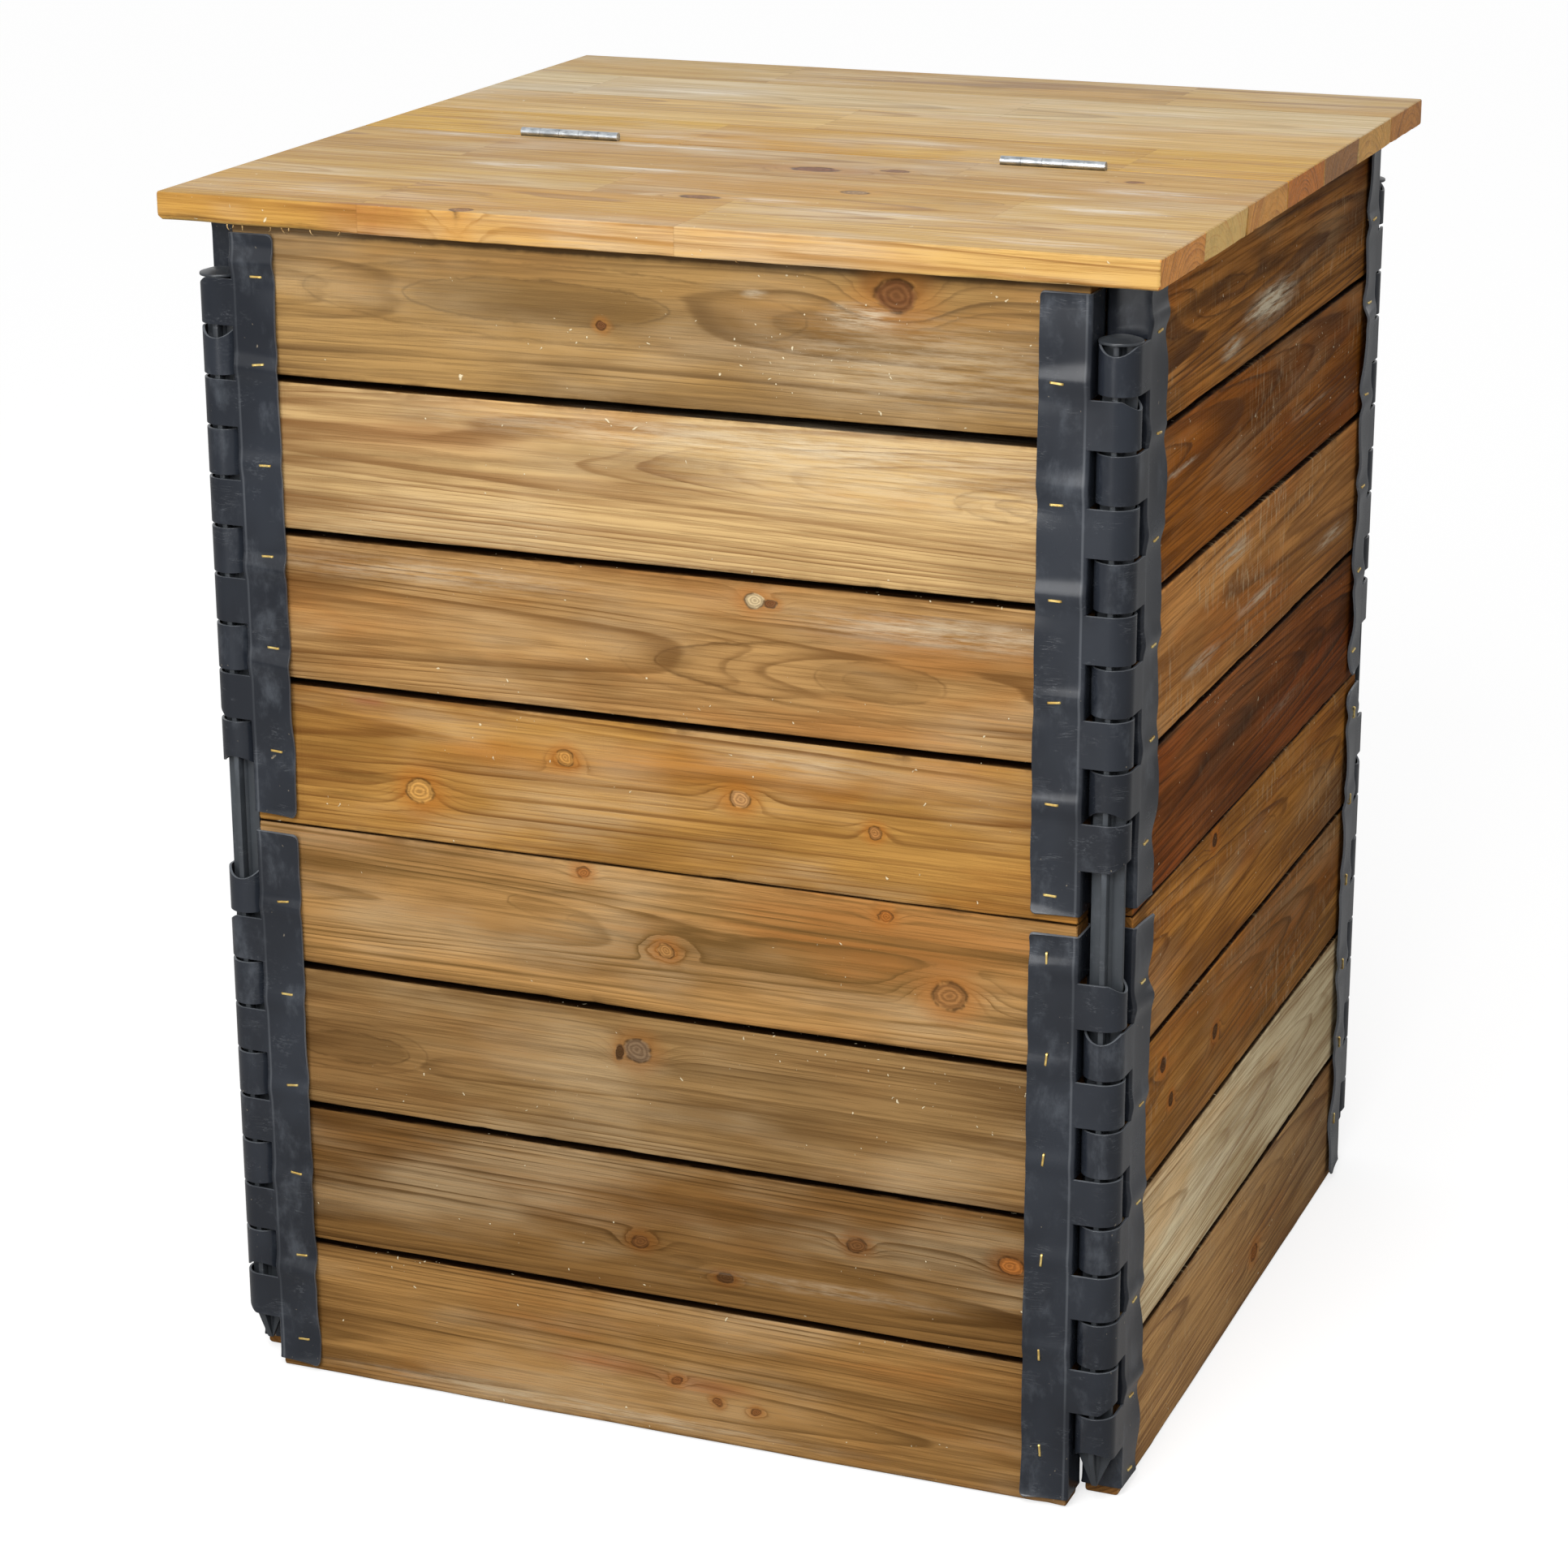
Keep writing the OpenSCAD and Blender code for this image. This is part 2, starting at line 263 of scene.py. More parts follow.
# A closed or pointed line in the grain, and the tone inside it
def makeGrainFigure(name, arched):
    g, enter = newGroup(name, spotPlace + ("Strength", "Line", "Fill"), ("Line", "Fill"))
    across, up = offsets(g, enter)
    lineWidth = 0.9 * mm
    if arched:     # a parabola that opens away from its tip
        inside = across - up * up
        slopeX = 1.0 / enter["Half Width"]
        slopeZ = up * 2.0 / enter["Half Height"]
        fill = g.remap(inside, 0.0, 0.06) * g.remap(inside, 0.55, 0.1)
        fade = g.remap(across, 2.6, 0.7)
    else:
        away = g.higher(0.01, g.root(across * across + up * up))
        inside = 1.0 - away
        slopeX = across / (enter["Half Width"] * away)
        slopeZ = up / (enter["Half Height"] * away)
        fill = g.remap(inside, 0.0, 0.12) * g.remap(inside, 1.2, 0.3, 0.25, 1.0)
        fade = 1.0
    slope = g.root(slopeX * slopeX + slopeZ * slopeZ)
    broken = g.remap(g.noise(enter["Place"], (30.0, 90.0, 90.0), 3.0, 0.6), 0.32, 0.56, 0.2, 1.0)
    line = g.bell(inside / slope / lineWidth) * fade * broken
    g.give("Line", line * enter["Strength"] + enter["Line"])
    g.give("Fill", fill * enter["Strength"] + enter["Fill"])
    return g.tree


def makeDustSpecks():
    g, enter = newGroup("dustSpecks", ("Amount", "Spacing"), ("Speck",))
    shake = g.shake(enter["Place"], 160.0, 1.0, 0.5, (9 * mm, 9 * mm, 9 * mm))
    cells = g.node("TexVoronoi", {"Vector": g.vector("ADD", enter["Place"], shake),
                                  "Scale": 1.0 / enter["Spacing"], "Randomness": 1.0})
    chance, another = g.apart(cells["Color"])[:2]
    cluster = g.remap(g.noise(enter["Place"], (11.0, 11.0, 19.0), 3.0, 0.65), 0.46, 0.74)
    kept = g.calc("LESS_THAN", chance, cluster * enter["Amount"])
    size = another ** 3.0 * 0.3 + 0.06
    g.give("Speck", g.remap(cells["Distance"], size, size * 0.5) * kept)
    return g.tree


def makeSawMarks():
    g, enter = newGroup("sawMarks", ("Strength",), ("Mark",))
    ripple = g.noise(enter["Place"], (620.0, 6.0, 18.0), 2.0, 0.6)
    patch = g.remap(g.noise(enter["Place"], (9.0, 9.0, 16.0)), 0.42, 0.64)
    g.give("Mark", (ripple - 0.5) * patch * enter["Strength"])
    return g.tree


def makeScuffs():
    g, enter = newGroup("scuffs", ("Amount",), ("Rub", "Scratch", "Cloud"))
    place, amount = enter["Place"], enter["Amount"]
    g.give("Cloud", g.noise(place, (16.0, 16.0, 9.0), 3.0))
    grit = g.remap(g.noise(place, (300.0, 300.0, 700.0), 3.0, 0.65), 0.46, 0.68)
    patch = g.remap(g.noise(place, (48.0, 48.0, 60.0), 3.0, 0.6), 0.56, 0.76)
    g.give("Rub", patch * grit * amount)
    sway = g.vector("MULTIPLY", g.noise(place, 26.0, 1.0, 0.5, "Color"), (12 * mm, 12 * mm, 12 * mm))
    hair = g.noise(g.vector("ADD", place, sway), (60.0, 60.0, 900.0), 1.0)
    line = g.remap(abs(hair - 0.5), 0.02, 0.004)
    scarce = g.remap(g.noise(place, (45.0, 45.0, 80.0)), 0.58, 0.7)
    g.give("Scratch", line * scarce * amount)
    return g.tree


growthRings = makeGrowthRings()
knotEye = makeKnotEye()
softSpot = makeSoftSpot()
grainOval = makeGrainFigure("grainOval", False)
grainArch = makeGrainFigure("grainArch", True)
dustSpecks = makeDustSpecks()
sawMarks = makeSawMarks()
scuffs = makeScuffs()
print("node groups built:", len(bpy.data.node_groups))


# Wood: every board and lamella has its own grain, knots, stains and rubs, some of them painted shadow and
# sheen; lengths in mm
woodDefaults = {
    "light": "#a8814e", "lines": "#76552f", "end": "#7a5228", "endLines": "#3c2410", "haze": "#c9b18a",
    # edges: painted shade that darkens the boards' upper and lower edge faces, which lie in the gaps
    "edges": "#3a3026", "rubTone": "#cdbfa4",
    # darker and redder zones, as parts of the light tone
    "shadeBy": (0.5, 0.46, 0.42), "warmBy": (0.86, 0.56, 0.3),
    "pithHeight": 8, "pithDepth": 40, "ringWidth": 3.0, "taper": 0.03, "wander": 5, "seed": 1.0,
    "contrast": 0.7, "lineContrast": 0.6, "shading": 0.75, "warmth": 0.5, "hazing": 0.45, "streaks": 0.6,
    "fibres": 0.42, "dust": 0.35, "saw": 1.0, "sawPale": 0.0, "rough": 0.62, "shine": 0.03, "wear": 0.4,
    "endDark": 0.5,
    "fade": 0.0,       # painted shade: how much darker the board is at its right end
    "openTop": False,  # the topmost boards' upper edges don't get the painted shade of those in the gaps
    "swells": (),      # loops in the grain: x, height, half length, half height, rings pushed aside
    "ovals": (),       # closed lines in the grain: x, height, half length, half height, strength
    "arches": (),      # pointed lines: the tip's x and height, length (minus: opens to the left),
                       # half height, strength
    "knots": (),       # x, height, half width, half height, colour, bend
    "stains": (),      # stains and painted shade: x, height, half width, half height, strength
    "reds": (),        # reddish patches, the same
    "rubs": (),        # whitish worn patches and painted sheen, the same
    "staves": (),      # where a lamella's next stave begins (x), its tint and how much of it
}


def makeWood(name, settings, low=0.0):
    wood = {**woodDefaults, **settings}
    made, g, shader = newMaterial(name)
    coords = g.node("TexCoord", {})
    place = coords["Object"]
    own = g.vector("ADD", place, tuple(wood["seed"] * by for by in (0.11, 0.07, 0.13)))
    shaken = g.vector("ADD", place, g.shake(own, (70.0, 70.0, 110.0), 3.0, 0.6, (7 * mm, 0.0, 4 * mm)))
    along = g.apart(place)[0]

    def spot(group, x, height, halfWidth, halfHeight, where=shaken, **others):
        return g.use(group, {"Place": where, "X": x * mm, "Height": (height - low) * mm,
                             "Half Width": halfWidth * mm, "Half Height": halfHeight * mm,
                             **{key.title(): value for key, value in others.items()}})

    def spots(kind):
        mask = 0.0
        for *middle, strength in wood[kind]:
            mask = spot(softSpot, *middle, strength=strength, mask=mask)["Mask"]
        return mask

    def patches(stretch, detail, low, high, rough=0.6):
        return g.remap(g.noise(own, stretch, detail, rough), low, high)

    seed, stave, joint, overs = wood["seed"], 0.0, 0.0, []
    for edge, tone, amount in wood["staves"]:
        overs.append(g.calc("GREATER_THAN", along, edge * mm))
        stave = overs[-1] + stave
        joint = g.remap(abs(along - edge * mm), 0.6 * mm, 0.2 * mm) + joint
    if wood["staves"]:
        seed = stave * 5.3 + wood["seed"]

    push, core, rim, ring, halo, knotTone = 0.0, 0.0, 0.0, 0.0, 0.0, None
    for x, height, length, high, bend in wood["swells"]:
        push = spot(knotEye, x, height, length * 0.42, high * 0.7, place, bend=bend, push=push)["Push"]
    for *middle, tone, bend in wood["knots"]:
        eye = spot(knotEye, *middle, bend=bend, push=push, rim=rim, ring=ring, halo=halo)
        push, rim, ring, halo = eye["Push"], eye["Rim"], eye["Ring"], eye["Halo"]
        knotTone = g.mix(eye["Core"], knotTone, colour(tone)) if core else colour(tone)
        core = g.higher(core, eye["Core"]) if core else eye["Core"]
    grain = g.use(growthRings, {
        "Place": place, "Pith Depth": wood["pithDepth"] * mm, "Pith Height": wood["pithHeight"] * mm,
        "Ring Width": wood["ringWidth"] * mm, "Taper": wood["taper"], "Wander": wood["wander"] * mm,
        "Push": push, "Seed": seed})
    late, line, streak = grain["Late Wood"], grain["Line"], grain["Streak"]

    light, lines, warm = colour(wood["light"]), colour(wood["lines"]), colour(wood["light"], wood["warmBy"])
    tints = [light]

    def lay(mask, tone, how="MIX"):
        tints.append(g.mix(mask, tints[-1], tone, how))

    def dark(*by):
        return colour(wood["lines"], by)

    lay(g.remap(grain["Tone"], 0.46, 0.66) * wood["shading"], colour(wood["light"], wood["shadeBy"]))
    lay(patches((4.0, 18.0, 18.0), 4.0, 0.48, 0.66) * wood["warmth"], warm)
    lay(g.remap(streak, 0.5, 0.7) * wood["streaks"], lines)
    lay(late * wood["contrast"], lines)
    for number, (edge, tone, amount) in enumerate(wood["staves"]):
        mask = overs[number]
        if number + 1 < len(overs):
            mask = mask - overs[number + 1]
        lay(mask * (amount * 0.7), colour(tone))
    lineMask, fillMask = 0.0, 0.0
    for kind, group in (("ovals", grainOval), ("arches", grainArch)):
        for *middle, strength in wood[kind]:
            figure = spot(group, *middle, strength=strength, line=lineMask, fill=fillMask)
            lineMask, fillMask = figure["Line"], figure["Fill"]
    if wood["ovals"] or wood["arches"]:
        lay(fillMask * 0.5, colour(wood["light"], (0.45, 0.4, 0.34)))
        lay(lineMask * 0.8, dark(0.5, 0.48, 0.46))
    # Stains, and painted shadow under the lid along the top boards' upper edges
    if wood["stains"]:
        lay(spots("stains") * g.remap(streak, 0.3, 0.62, 0.5, 1.0), dark(0.4, 0.4, 0.42))
    if wood["reds"]:
        lay(spots("reds"), colour("#8a4420"))
    haze = patches((5.0, 14.0, 16.0), 3.0, 0.46, 0.72) * g.remap(grain["Fibre"], 0.28, 0.62, 0.35, 1.0)
    lay(haze * g.remap(late, 0.7, 0.1, 0.4, 1.0) * wood["hazing"], colour(wood["haze"]))
    lay(line * wood["lineContrast"], dark(0.7, 0.66, 0.6))
    fibre = g.remap(grain["Fibre"], 0.42, 0.66)
    lay(fibre * wood["fibres"], dark(0.8, 0.76, 0.7))
    if wood["staves"]:
        lay(joint * 0.16, colour("#6a4a26"))
    else:     # the ends take up damp
        damp = g.remap(abs(along), 0.17, 0.262) * g.remap(streak, 0.42, 0.6)
        lay(damp * wood["endDark"], dark(0.6, 0.5, 0.4))
    if wood["knots"]:
        lay(halo * 0.55, warm)
        lay(core * 0.85, knotTone)
        lay(ring * 0.4, colour("#3a2010"))
        lay(rim * 0.7, colour("#2a170a"))

    faceX, faceY, faceZ = g.apart(coords["Normal"])
    endTint = g.mix(g.higher(late, line) * 0.8, colour(wood["end"]), colour(wood["endLines"]))
    lay(g.remap(abs(faceX), 0.6, 0.85) * 0.9, endTint)
    # Painted shade in the gaps: faces that look up or down, the boards' edges, are multiplied by the edge
    # colour
    lying = faceZ * -1.0 if wood["openTop"] else abs(faceZ)
    lay(g.remap(lying, 0.55, 0.9), colour(wood["edges"]), "MULTIPLY")
    # Painted shade: darker towards the board's right end
    if wood["fade"]:
        lay(g.remap(along, -0.28, 0.28) * wood["fade"], colour("#96928c"), "MULTIPLY")
    arris = g.node("Attribute", {}, attribute_name="arris")["Fac"]
    lay(arris * patches((45.0, 90.0, 90.0), 3.0, 0.42, 0.62) * wood["wear"], colour("#5a3f22"))
    # Whitish rubs in the rub tone; the large faint ones on the upper front boards are painted sheen
    if wood["rubs"]:
        lay(spots("rubs") * patches((26.0, 240.0, 300.0), 5.0, 0.34, 0.68, 0.72), colour(wood["rubTone"]))
    if wood["sawPale"]:
        furred = patches((230.0, 40.0, 60.0), 4.0, 0.5, 0.74, 0.7)
        furred = furred * patches((7.0, 12.0, 22.0), 2.0, 0.48, 0.66, 0.5)
        lay(furred * wood["sawPale"], colour(wood["haze"]))
    speck = g.use(dustSpecks, {"Place": own, "Amount": wood["dust"], "Spacing": 3.4 * mm})["Speck"]
    lay(speck * 0.75, colour("#e0d2b0"))

    shader["Specular IOR Level"].default_value = wood["shine"]
    saw = g.use(sawMarks, {"Place": own, "Strength": wood["saw"]})["Mark"]
    height = line * 0.3 + fibre * -0.3 + saw * 0.35 + speck * 0.6
    if wood["knots"]:
        height = height + (rim + ring) * -0.3
    g.dress(shader, tints[-1], fibre * 0.1 + (late * -0.1 + wood["rough"]), height, 0.7, 1.0 * mm)
    return made


def newMesh(name, verts, faces):
    mesh = bpy.data.meshes.new(name)
    mesh.from_pydata(verts, [], faces)
    return mesh


# Faces between rings of points that follow each other, with a cap at both ends
def tube(start, rings, around, flipped=False, capped=True):
    faces = []
    for i in range(rings - 1):
        for k in range(around):
            j = (k + 1) % around
            low, high = start + i * around, start + (i + 1) * around
            faces.append((low + k, low + j, high + j, high + k))
    if capped:
        faces.append(tuple(start + k for k in reversed(range(around))))
        faces.append(tuple(start + (rings - 1) * around + k for k in range(around)))
    return [face[::-1] for face in faces] if flipped else faces


def circle(radius, around):
    turns = [2 * math.pi * k / around for k in range(around)]
    return [(radius * math.cos(turn), radius * math.sin(turn)) for turn in turns]


def wobble(*place):
    return noise.noise(Vector(place))


# Sawn timber: x along the grain, the broad face looks to -y, z across the grain
timberDefaults = {
    "slim": ((0, 0), (0, 0)),     # how far the lower and the upper edge fall short at both ends, mm
    "facePoints": (6, 2, 6, 2),   # points across the outer face, lower edge, inner face and upper edge
    "chips": 3.0,                 # how deep chips bite into the corners
    "warp": 0.25 * mm,
    "endChips": 0.0,              # how far the ends are torn along their inner edge (the lid's lower one)
    "extraStations": [],
    "ragged": None,               # a function that may change a corner's height and radius
}


def timberMesh(name, settings):
    size = {**timberDefaults, **settings}
    length, thick, wide, seed = size["length"], size["thick"], size["wide"], size["seed"]
    corners = ((-1, 1), (-1, -1), (1, -1), (1, 1))     # y and z side of each, in order round the section
    arcSteps, endEase, step = 4, 0.7 * mm, 9 * mm
    stations = [endEase - length / 2 + i * step for i in range(int((length - 2 * endEase) / step) + 1)]
    stations += [-length / 2, length / 2 - endEase, length / 2] + size["extraStations"]
    stations.sort()
    last = len(stations) - 1
    verts, arris = [], []
    for s, x in enumerate(stations):
        outermost = s in (0, last)
        shrink = 0.6 * mm if outermost else 0.0
        arcs, ring = [], []
        for c, (ySide, zSide) in enumerate(corners):
            wear = 0.75 + 0.9 * abs(wobble(x * 13, seed + c * 7.1, 0.3))
            chip = max(0.0, wobble(x * 70, seed * 1.3 + c, 4.2) - 0.42) * size["chips"]
            radius = min(size["easing"][c] * (wear + chip), 0.42 * min(thick, wide))
            yOut = thick / 2 - shrink - size["warp"] * abs(wobble(x * 6, seed, c * 2.0))
            zOut = wide / 2 - shrink + size["warp"] * wobble(x * 9, seed + 5, c * 3.0)
            slimLeft, slimRight = size["slim"][0 if zSide < 0 else 1]
            zOut -= (slimLeft + (slimRight - slimLeft) * (x / length + 0.5)) * mm
            if size["ragged"]:
                zOut, radius = size["ragged"](x, c, zOut, radius)
            y, z = ySide * (yOut - radius), zSide * (zOut - radius)
            turns = [math.pi / 2 * (c + 1 + i / arcSteps) for i in range(arcSteps + 1)]
            arcs.append([(y + radius * math.cos(turn), z + radius * math.sin(turn)) for turn in turns])
            bare = max(1.0, radius / (2.4 * mm))
            marks = [0.6 * bare] + [bare] * (arcSteps - 1) + [0.6 * bare] + [0.0] * size["facePoints"][c]
            arris += [1.0] * len(marks) if outermost else marks
        for c, arc in enumerate(arcs):
            (y, z), (nextY, nextZ) = arc[-1], arcs[(c + 1) % 4][0]
            parts = [0.04 + 0.92 * i / (size["facePoints"][c] - 1) for i in range(size["facePoints"][c])]
            ring += arc + [(y + (nextY - y) * part, z + (nextZ - z) * part) for part in parts]
        torn = size["endChips"] if s in (0, 1, last - 1, last) else 0
        for y, z in ring:
            tooth = max(0.0, wobble(z * 190, seed, x * 9) + 0.12) * torn if y > thick / 2 * 0.7 else 0
            verts.append((x - math.copysign(tooth, x), y, z))
    mesh = newMesh(name, verts, tube(0, len(stations), len(ring)))
    mesh.attributes.new("arris", "FLOAT", "POINT").data.foreach_set("value", arris)
    mesh.validate()
    mesh.update()
    return mesh


def addObject(name, data):
    made = bpy.data.objects.new(name, data)
    bpy.context.scene.collection.objects.link(made)
    return made


def placePiece(mesh, matrix, body, material, smoothAngle=35):
    piece = addObject(mesh.name, mesh)
    piece.matrix_world = matrix
    mesh.polygons.foreach_set("use_smooth", [True] * len(mesh.polygons))
    mesh.set_sharp_from_angle(angle=math.radians(smoothAngle))
    mesh.materials.append(material)
    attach(piece, body)
    return piece


def sideTurn(side):
    return Matrix.Rotation(math.radians(90 * sides.index(side)), 4, "Z")


# Boards: settings by panel and row, row 1 on top; knots and stains as measured on the photo; some stains
# along the top boards' upper edges are painted shadow, and some rubs are painted sheen
boardSettings = {
    "upper_front_1": {"light": "#9f7d4c", "lines": "#705636", "seed": 3.1, "pithHeight": 11,
        "pithDepth": 34, "taper": 0.0, "dust": 0.6, "warmth": 0.25,
        "ovals": ((-72, 742, 88, 13, 0.7), (-62, 742, 166, 23, 0.5)),
        "swells": ((-72, 742, 105, 17, 1.6), (-60, 742, 190, 27, 1.2)), "stains": ((-75, 741, 150, 20, 0.3),
        # the last stain, a long band at height 776 along the top, is painted shadow under the lid
        (-75, 741, 92, 14, 0.25), (130, 735, 120, 8, 0.3), (-226, 743, 7, 3, 0.5), (0, 776, 1500, 5, 1.6)),
        "knots": ((159, 762, 13, 10, "#6b4226", 3.8), (-28, 731, 3.6, 3, "#6e4528", 1.2)),
        # its last, large faint rub is painted sheen
        "rubs": ((136, 748, 24, 9, 0.7), (71, 757, 9, 3, 0.5), (170, 722, 120, 32, 0.3))},
    "upper_front_2": {"light": "#be9e6c", "lines": "#85613b", "seed": 7.7, "pithHeight": 16,
        "ringWidth": 2.3, "pithDepth": 30, "taper": -0.02,
        "swells": ((232, 642, 34, 7, 2.4), (-120, 655, 120, 12, 1.6)),
        "arches": ((196, 643, 40, 12, 0.5), (222, 643, 30, 7, 0.5), (20, 652, -150, 12, 0.3)),
        # both its rubs are painted sheen
        "reds": ((-150, 652, 90, 12, 0.2),), "rubs": ((150, 655, 180, 30, 0.3), (20, 668, 200, 12, 0.35)),
        "stains": ((-240, 615, 60, 26, 0.4), (-120, 640, 130, 4, 0.25))},
    "upper_front_3": {"light": "#a6804f", "lines": "#714e29", "seed": 11.3, "pithHeight": -5,
        "pithDepth": 26, "taper": 0.02, "dust": 0.4,
        "swells": ((92, 528, 90, 13, 1.4), (172, 528, 66, 10, 1.4)),
        "arches": ((3, 527, 52, 15, 0.9), (46, 527, 40, 11, 0.3), (-20, 526, 60, 22, 0.25)),
        "ovals": ((150, 527, 42, 12, 0.6), (150, 527, 24, 6, 0.3)),
        "knots": ((69, 570, 7, 5, "#c9b48c", 2.2), (80, 569, 4, 2.4, "#6b4226", 1.0)),
        "stains": ((-210, 556, 70, 5, 0.35), (14, 527, 20, 6, 0.4), (-120, 512, 130, 6, 0.35)),
        # its first rub, on the right, is partly a whitish patch and partly painted sheen
        "rubs": ((190, 562, 110, 12, 0.5), (-150, 566, 130, 10, 0.35))},
    "upper_front_4": {"light": "#aa7e40", "lines": "#764e24", "seed": 15.9, "pithHeight": 24,
        "pithDepth": 30, "taper": 0.012, "saw": 1.8, "ringWidth": 3.4,
        "knots": ((-58, 456, 6, 5.2, "#bd8744", 2.0), (-160, 422, 9, 8, "#c8944e", 2.6),
        (59, 443, 7, 5.6, "#b98a58", 2.4), (147, 432, 4.6, 4, "#a97440", 1.8)),
        "stains": ((-205, 428, 34, 4, 0.6), (-212, 414, 26, 3, 0.5), (-10, 452, 70, 3, 0.35)),
        "reds": ((-194, 478, 16, 4, 0.8),), "rubs": ((100, 470, 60, 8, 0.3),)},
    "lower_front_1": {"light": "#a77e4b", "lines": "#6a4e28", "seed": 21.4, "pithHeight": 4,
        "pithDepth": 24, "arches": ((-100, 357, 90, 16, 0.5), (-60, 350, 100, 11, 0.35)),
        "swells": ((20, 345, 115, 16, 1.4),), "taper": 0.015, "knots": ((8, 337, 6, 4.6, "#a87842", 2.2),
        (196, 333, 11, 9, "#98683a", 3.0), (154, 379, 5, 4, "#a5642a", 1.6),
        (-48, 382, 5, 4, "#9c5f2a", 1.6)), "stains": ((-180, 330, 80, 16, 0.3), (150, 352, 90, 5, 0.3))},
    "lower_front_2": {"light": "#8d6e45", "lines": "#604526", "seed": 26.8, "pithHeight": -8, "dust": 0.8,
        "pithDepth": 32, "taper": 0.0, "warmth": 0.25,
        "ovals": ((-214, 240, 40, 10, 0.8), (-218, 240, 58, 17, 0.4)),
        "swells": ((-212, 240, 42, 12, 1.4), (90, 226, 150, 9, 1.4)),
        "knots": ((-12, 267, 9, 8, "#76604a", 2.8), (-24, 264, 3, 5, "#3c2816", 1.0)),
        "stains": ((40, 258, 120, 10, 0.25),)},
    "lower_front_3": {"light": "#795830", "lines": "#4f3619", "seed": 31.2, "pithHeight": -22,
        "taper": 0.01, "warmth": 0.25, "shading": 0.5, "knots": ((-12, 135, 6, 4.6, "#6b4422", 2.0),
        (136, 157, 6, 5, "#6b4422", 2.0), (238, 160, 8, 6, "#a8662c", 2.2),
        (47, 119, 6, 3.4, "#4a2f18", 1.8)), "stains": ((-150, 150, 100, 20, 0.25),),
        "rubs": ((120, 122, 90, 6, 0.3),)},
    "lower_front_4": {"light": "#997241", "lines": "#654825", "seed": 36.6, "pithHeight": -20,
        "pithDepth": 26, "dust": 0.5, "taper": 0.01, "reds": ((-40, 44, 46, 8, 0.5), (30, 40, 44, 7, 0.5)),
        "knots": ((12, 40, 3.6, 3, "#7e4d26", 1.2), (40, 30, 3.4, 3, "#7e4d26", 1.2),
        (67, 28, 3.2, 2.8, "#7e4d26", 1.2)), "rubs": ((-60, 10, 200, 6, 0.35),)},
    "upper_right_1": {"light": "#c3813a", "lines": "#593616", "seed": 41.9, "contrast": 0.9,
        "ringWidth": 4.2, "pithHeight": 4, "pithDepth": 22, "swells": ((-110, 738, 150, 16, 2.6),),
        "ovals": ((-150, 738, 90, 10, 0.8), (90, 728, 110, 14, 0.6)), "stains": ((-150, 744, 120, 8, 0.9),
        # the last two stains, bands along the top, are painted shadow under the lid
        (0, 735, 60, 6, 0.8), (-120, 722, 120, 4, 0.7), (60, 762, 230, 6, 0.8), (0, 776, 1500, 5, 1.6)),
        "rubs": ((3, 712, 62, 14, 1.3), (-92, 700, 30, 7, 0.9), (-35, 712, 46, 2.5, 0.9))},
    "upper_right_2": {"light": "#aa6621", "lines": "#6a3d10", "seed": 46.3, "ringWidth": 2.6,
        "pithHeight": 26, "rubs": ((-196, 648, 38, 2.4, 0.8), (120, 620, 60, 3, 0.35))},
    "upper_right_3": {"light": "#dd9b55", "lines": "#956334", "seed": 51.7, "taper": -0.02, "sawPale": 0.8,
        "rubs": ((-70, 564, 46, 8, 0.8), (-8, 519, 56, 5, 0.7), (185, 513, 50, 6, 0.7),
        (-140, 512, 42, 6, 0.8))},
    "upper_right_4": {"light": "#9e5a25", "lines": "#4f2d0f", "seed": 56.2, "contrast": 0.85, "hazing": 0.1,
        "sawPale": 0.15, "stains": ((-60, 440, 160, 14, 0.6), (140, 460, 80, 8, 0.5)),
        "rubs": ((60, 425, 60, 5, 0.25),)},
    "lower_right_1": {"light": "#c8873b", "lines": "#7a4a1d", "seed": 61.8,
        "arches": ((60, 345, -120, 20, 0.6), (-20, 348, -90, 12, 0.5), (200, 336, -110, 22, 0.4)),
        "knots": ((-95, 380, 6, 4.5, "#4d3018", 2.2),), "reds": ((-6, 348, 46, 14, 0.35),),
        "stains": ((-190, 340, 60, 14, 0.5),)},
    "lower_right_2": {"light": "#c38842", "lines": "#7f5528", "seed": 66.4, "pithHeight": 12,
        "arches": ((120, 238, 110, 18, 0.5), (20, 250, 120, 24, 0.4)),
        "knots": ((-201, 265, 6, 4.6, "#4a2e18", 2.0), (-181, 234, 5, 4, "#553618", 1.8),
        (-80, 242, 6, 5, "#553618", 2.0))},
    "lower_right_3": {"light": "#f9e6bb", "lines": "#b48c5c", "shadeBy": (0.66, 0.6, 0.5), "seed": 71.3,
        "contrast": 0.6, "saw": 2.4, "end": "#a58a60", "rubs": ((0, 145, 220, 30, 0.35),)},
    "lower_right_4": {"light": "#ce9f66", "lines": "#8d6746", "seed": 76.9, "pithHeight": 22,
        "knots": ((44, 30, 8, 6, "#a8662c", 2.4),), "stains": ((-160, 60, 90, 16, 0.35),)},
}
# The right panels are rougher and their grain is stronger; they get painted shade towards their right, back
# ends
rightWood = {"contrast": 0.9, "lineContrast": 0.8, "fibres": 0.55, "saw": 2.2, "sawPale": 0.4,
             "shading": 0.9, "dust": 0.5, "fade": 0.55}
hiddenTones = (("#b0884f", "#7c5a32"), ("#bb8b4e", "#885e30"), ("#a67c4b", "#72502d"),
               ("#9e784a", "#684c2e"))
knotTones = ("#4d3018", "#5b3b22", "#8a5428")
boardSize = {"length": 553 * mm, "thick": 22 * mm, "wide": 95 * mm}
boardPitch, halfBoard = 98, 47.5
slimSettings = {"upper_front_1": ((0.3, 1.9), (0.0, 0.0)), "upper_front_2": ((0.4, 0.2), (0.1, 0.5)),
                "upper_front_3": ((0.6, 0.5), (0.3, 0.2)), "lower_front_2": ((0.6, 0.1), (0.2, 0.2))}


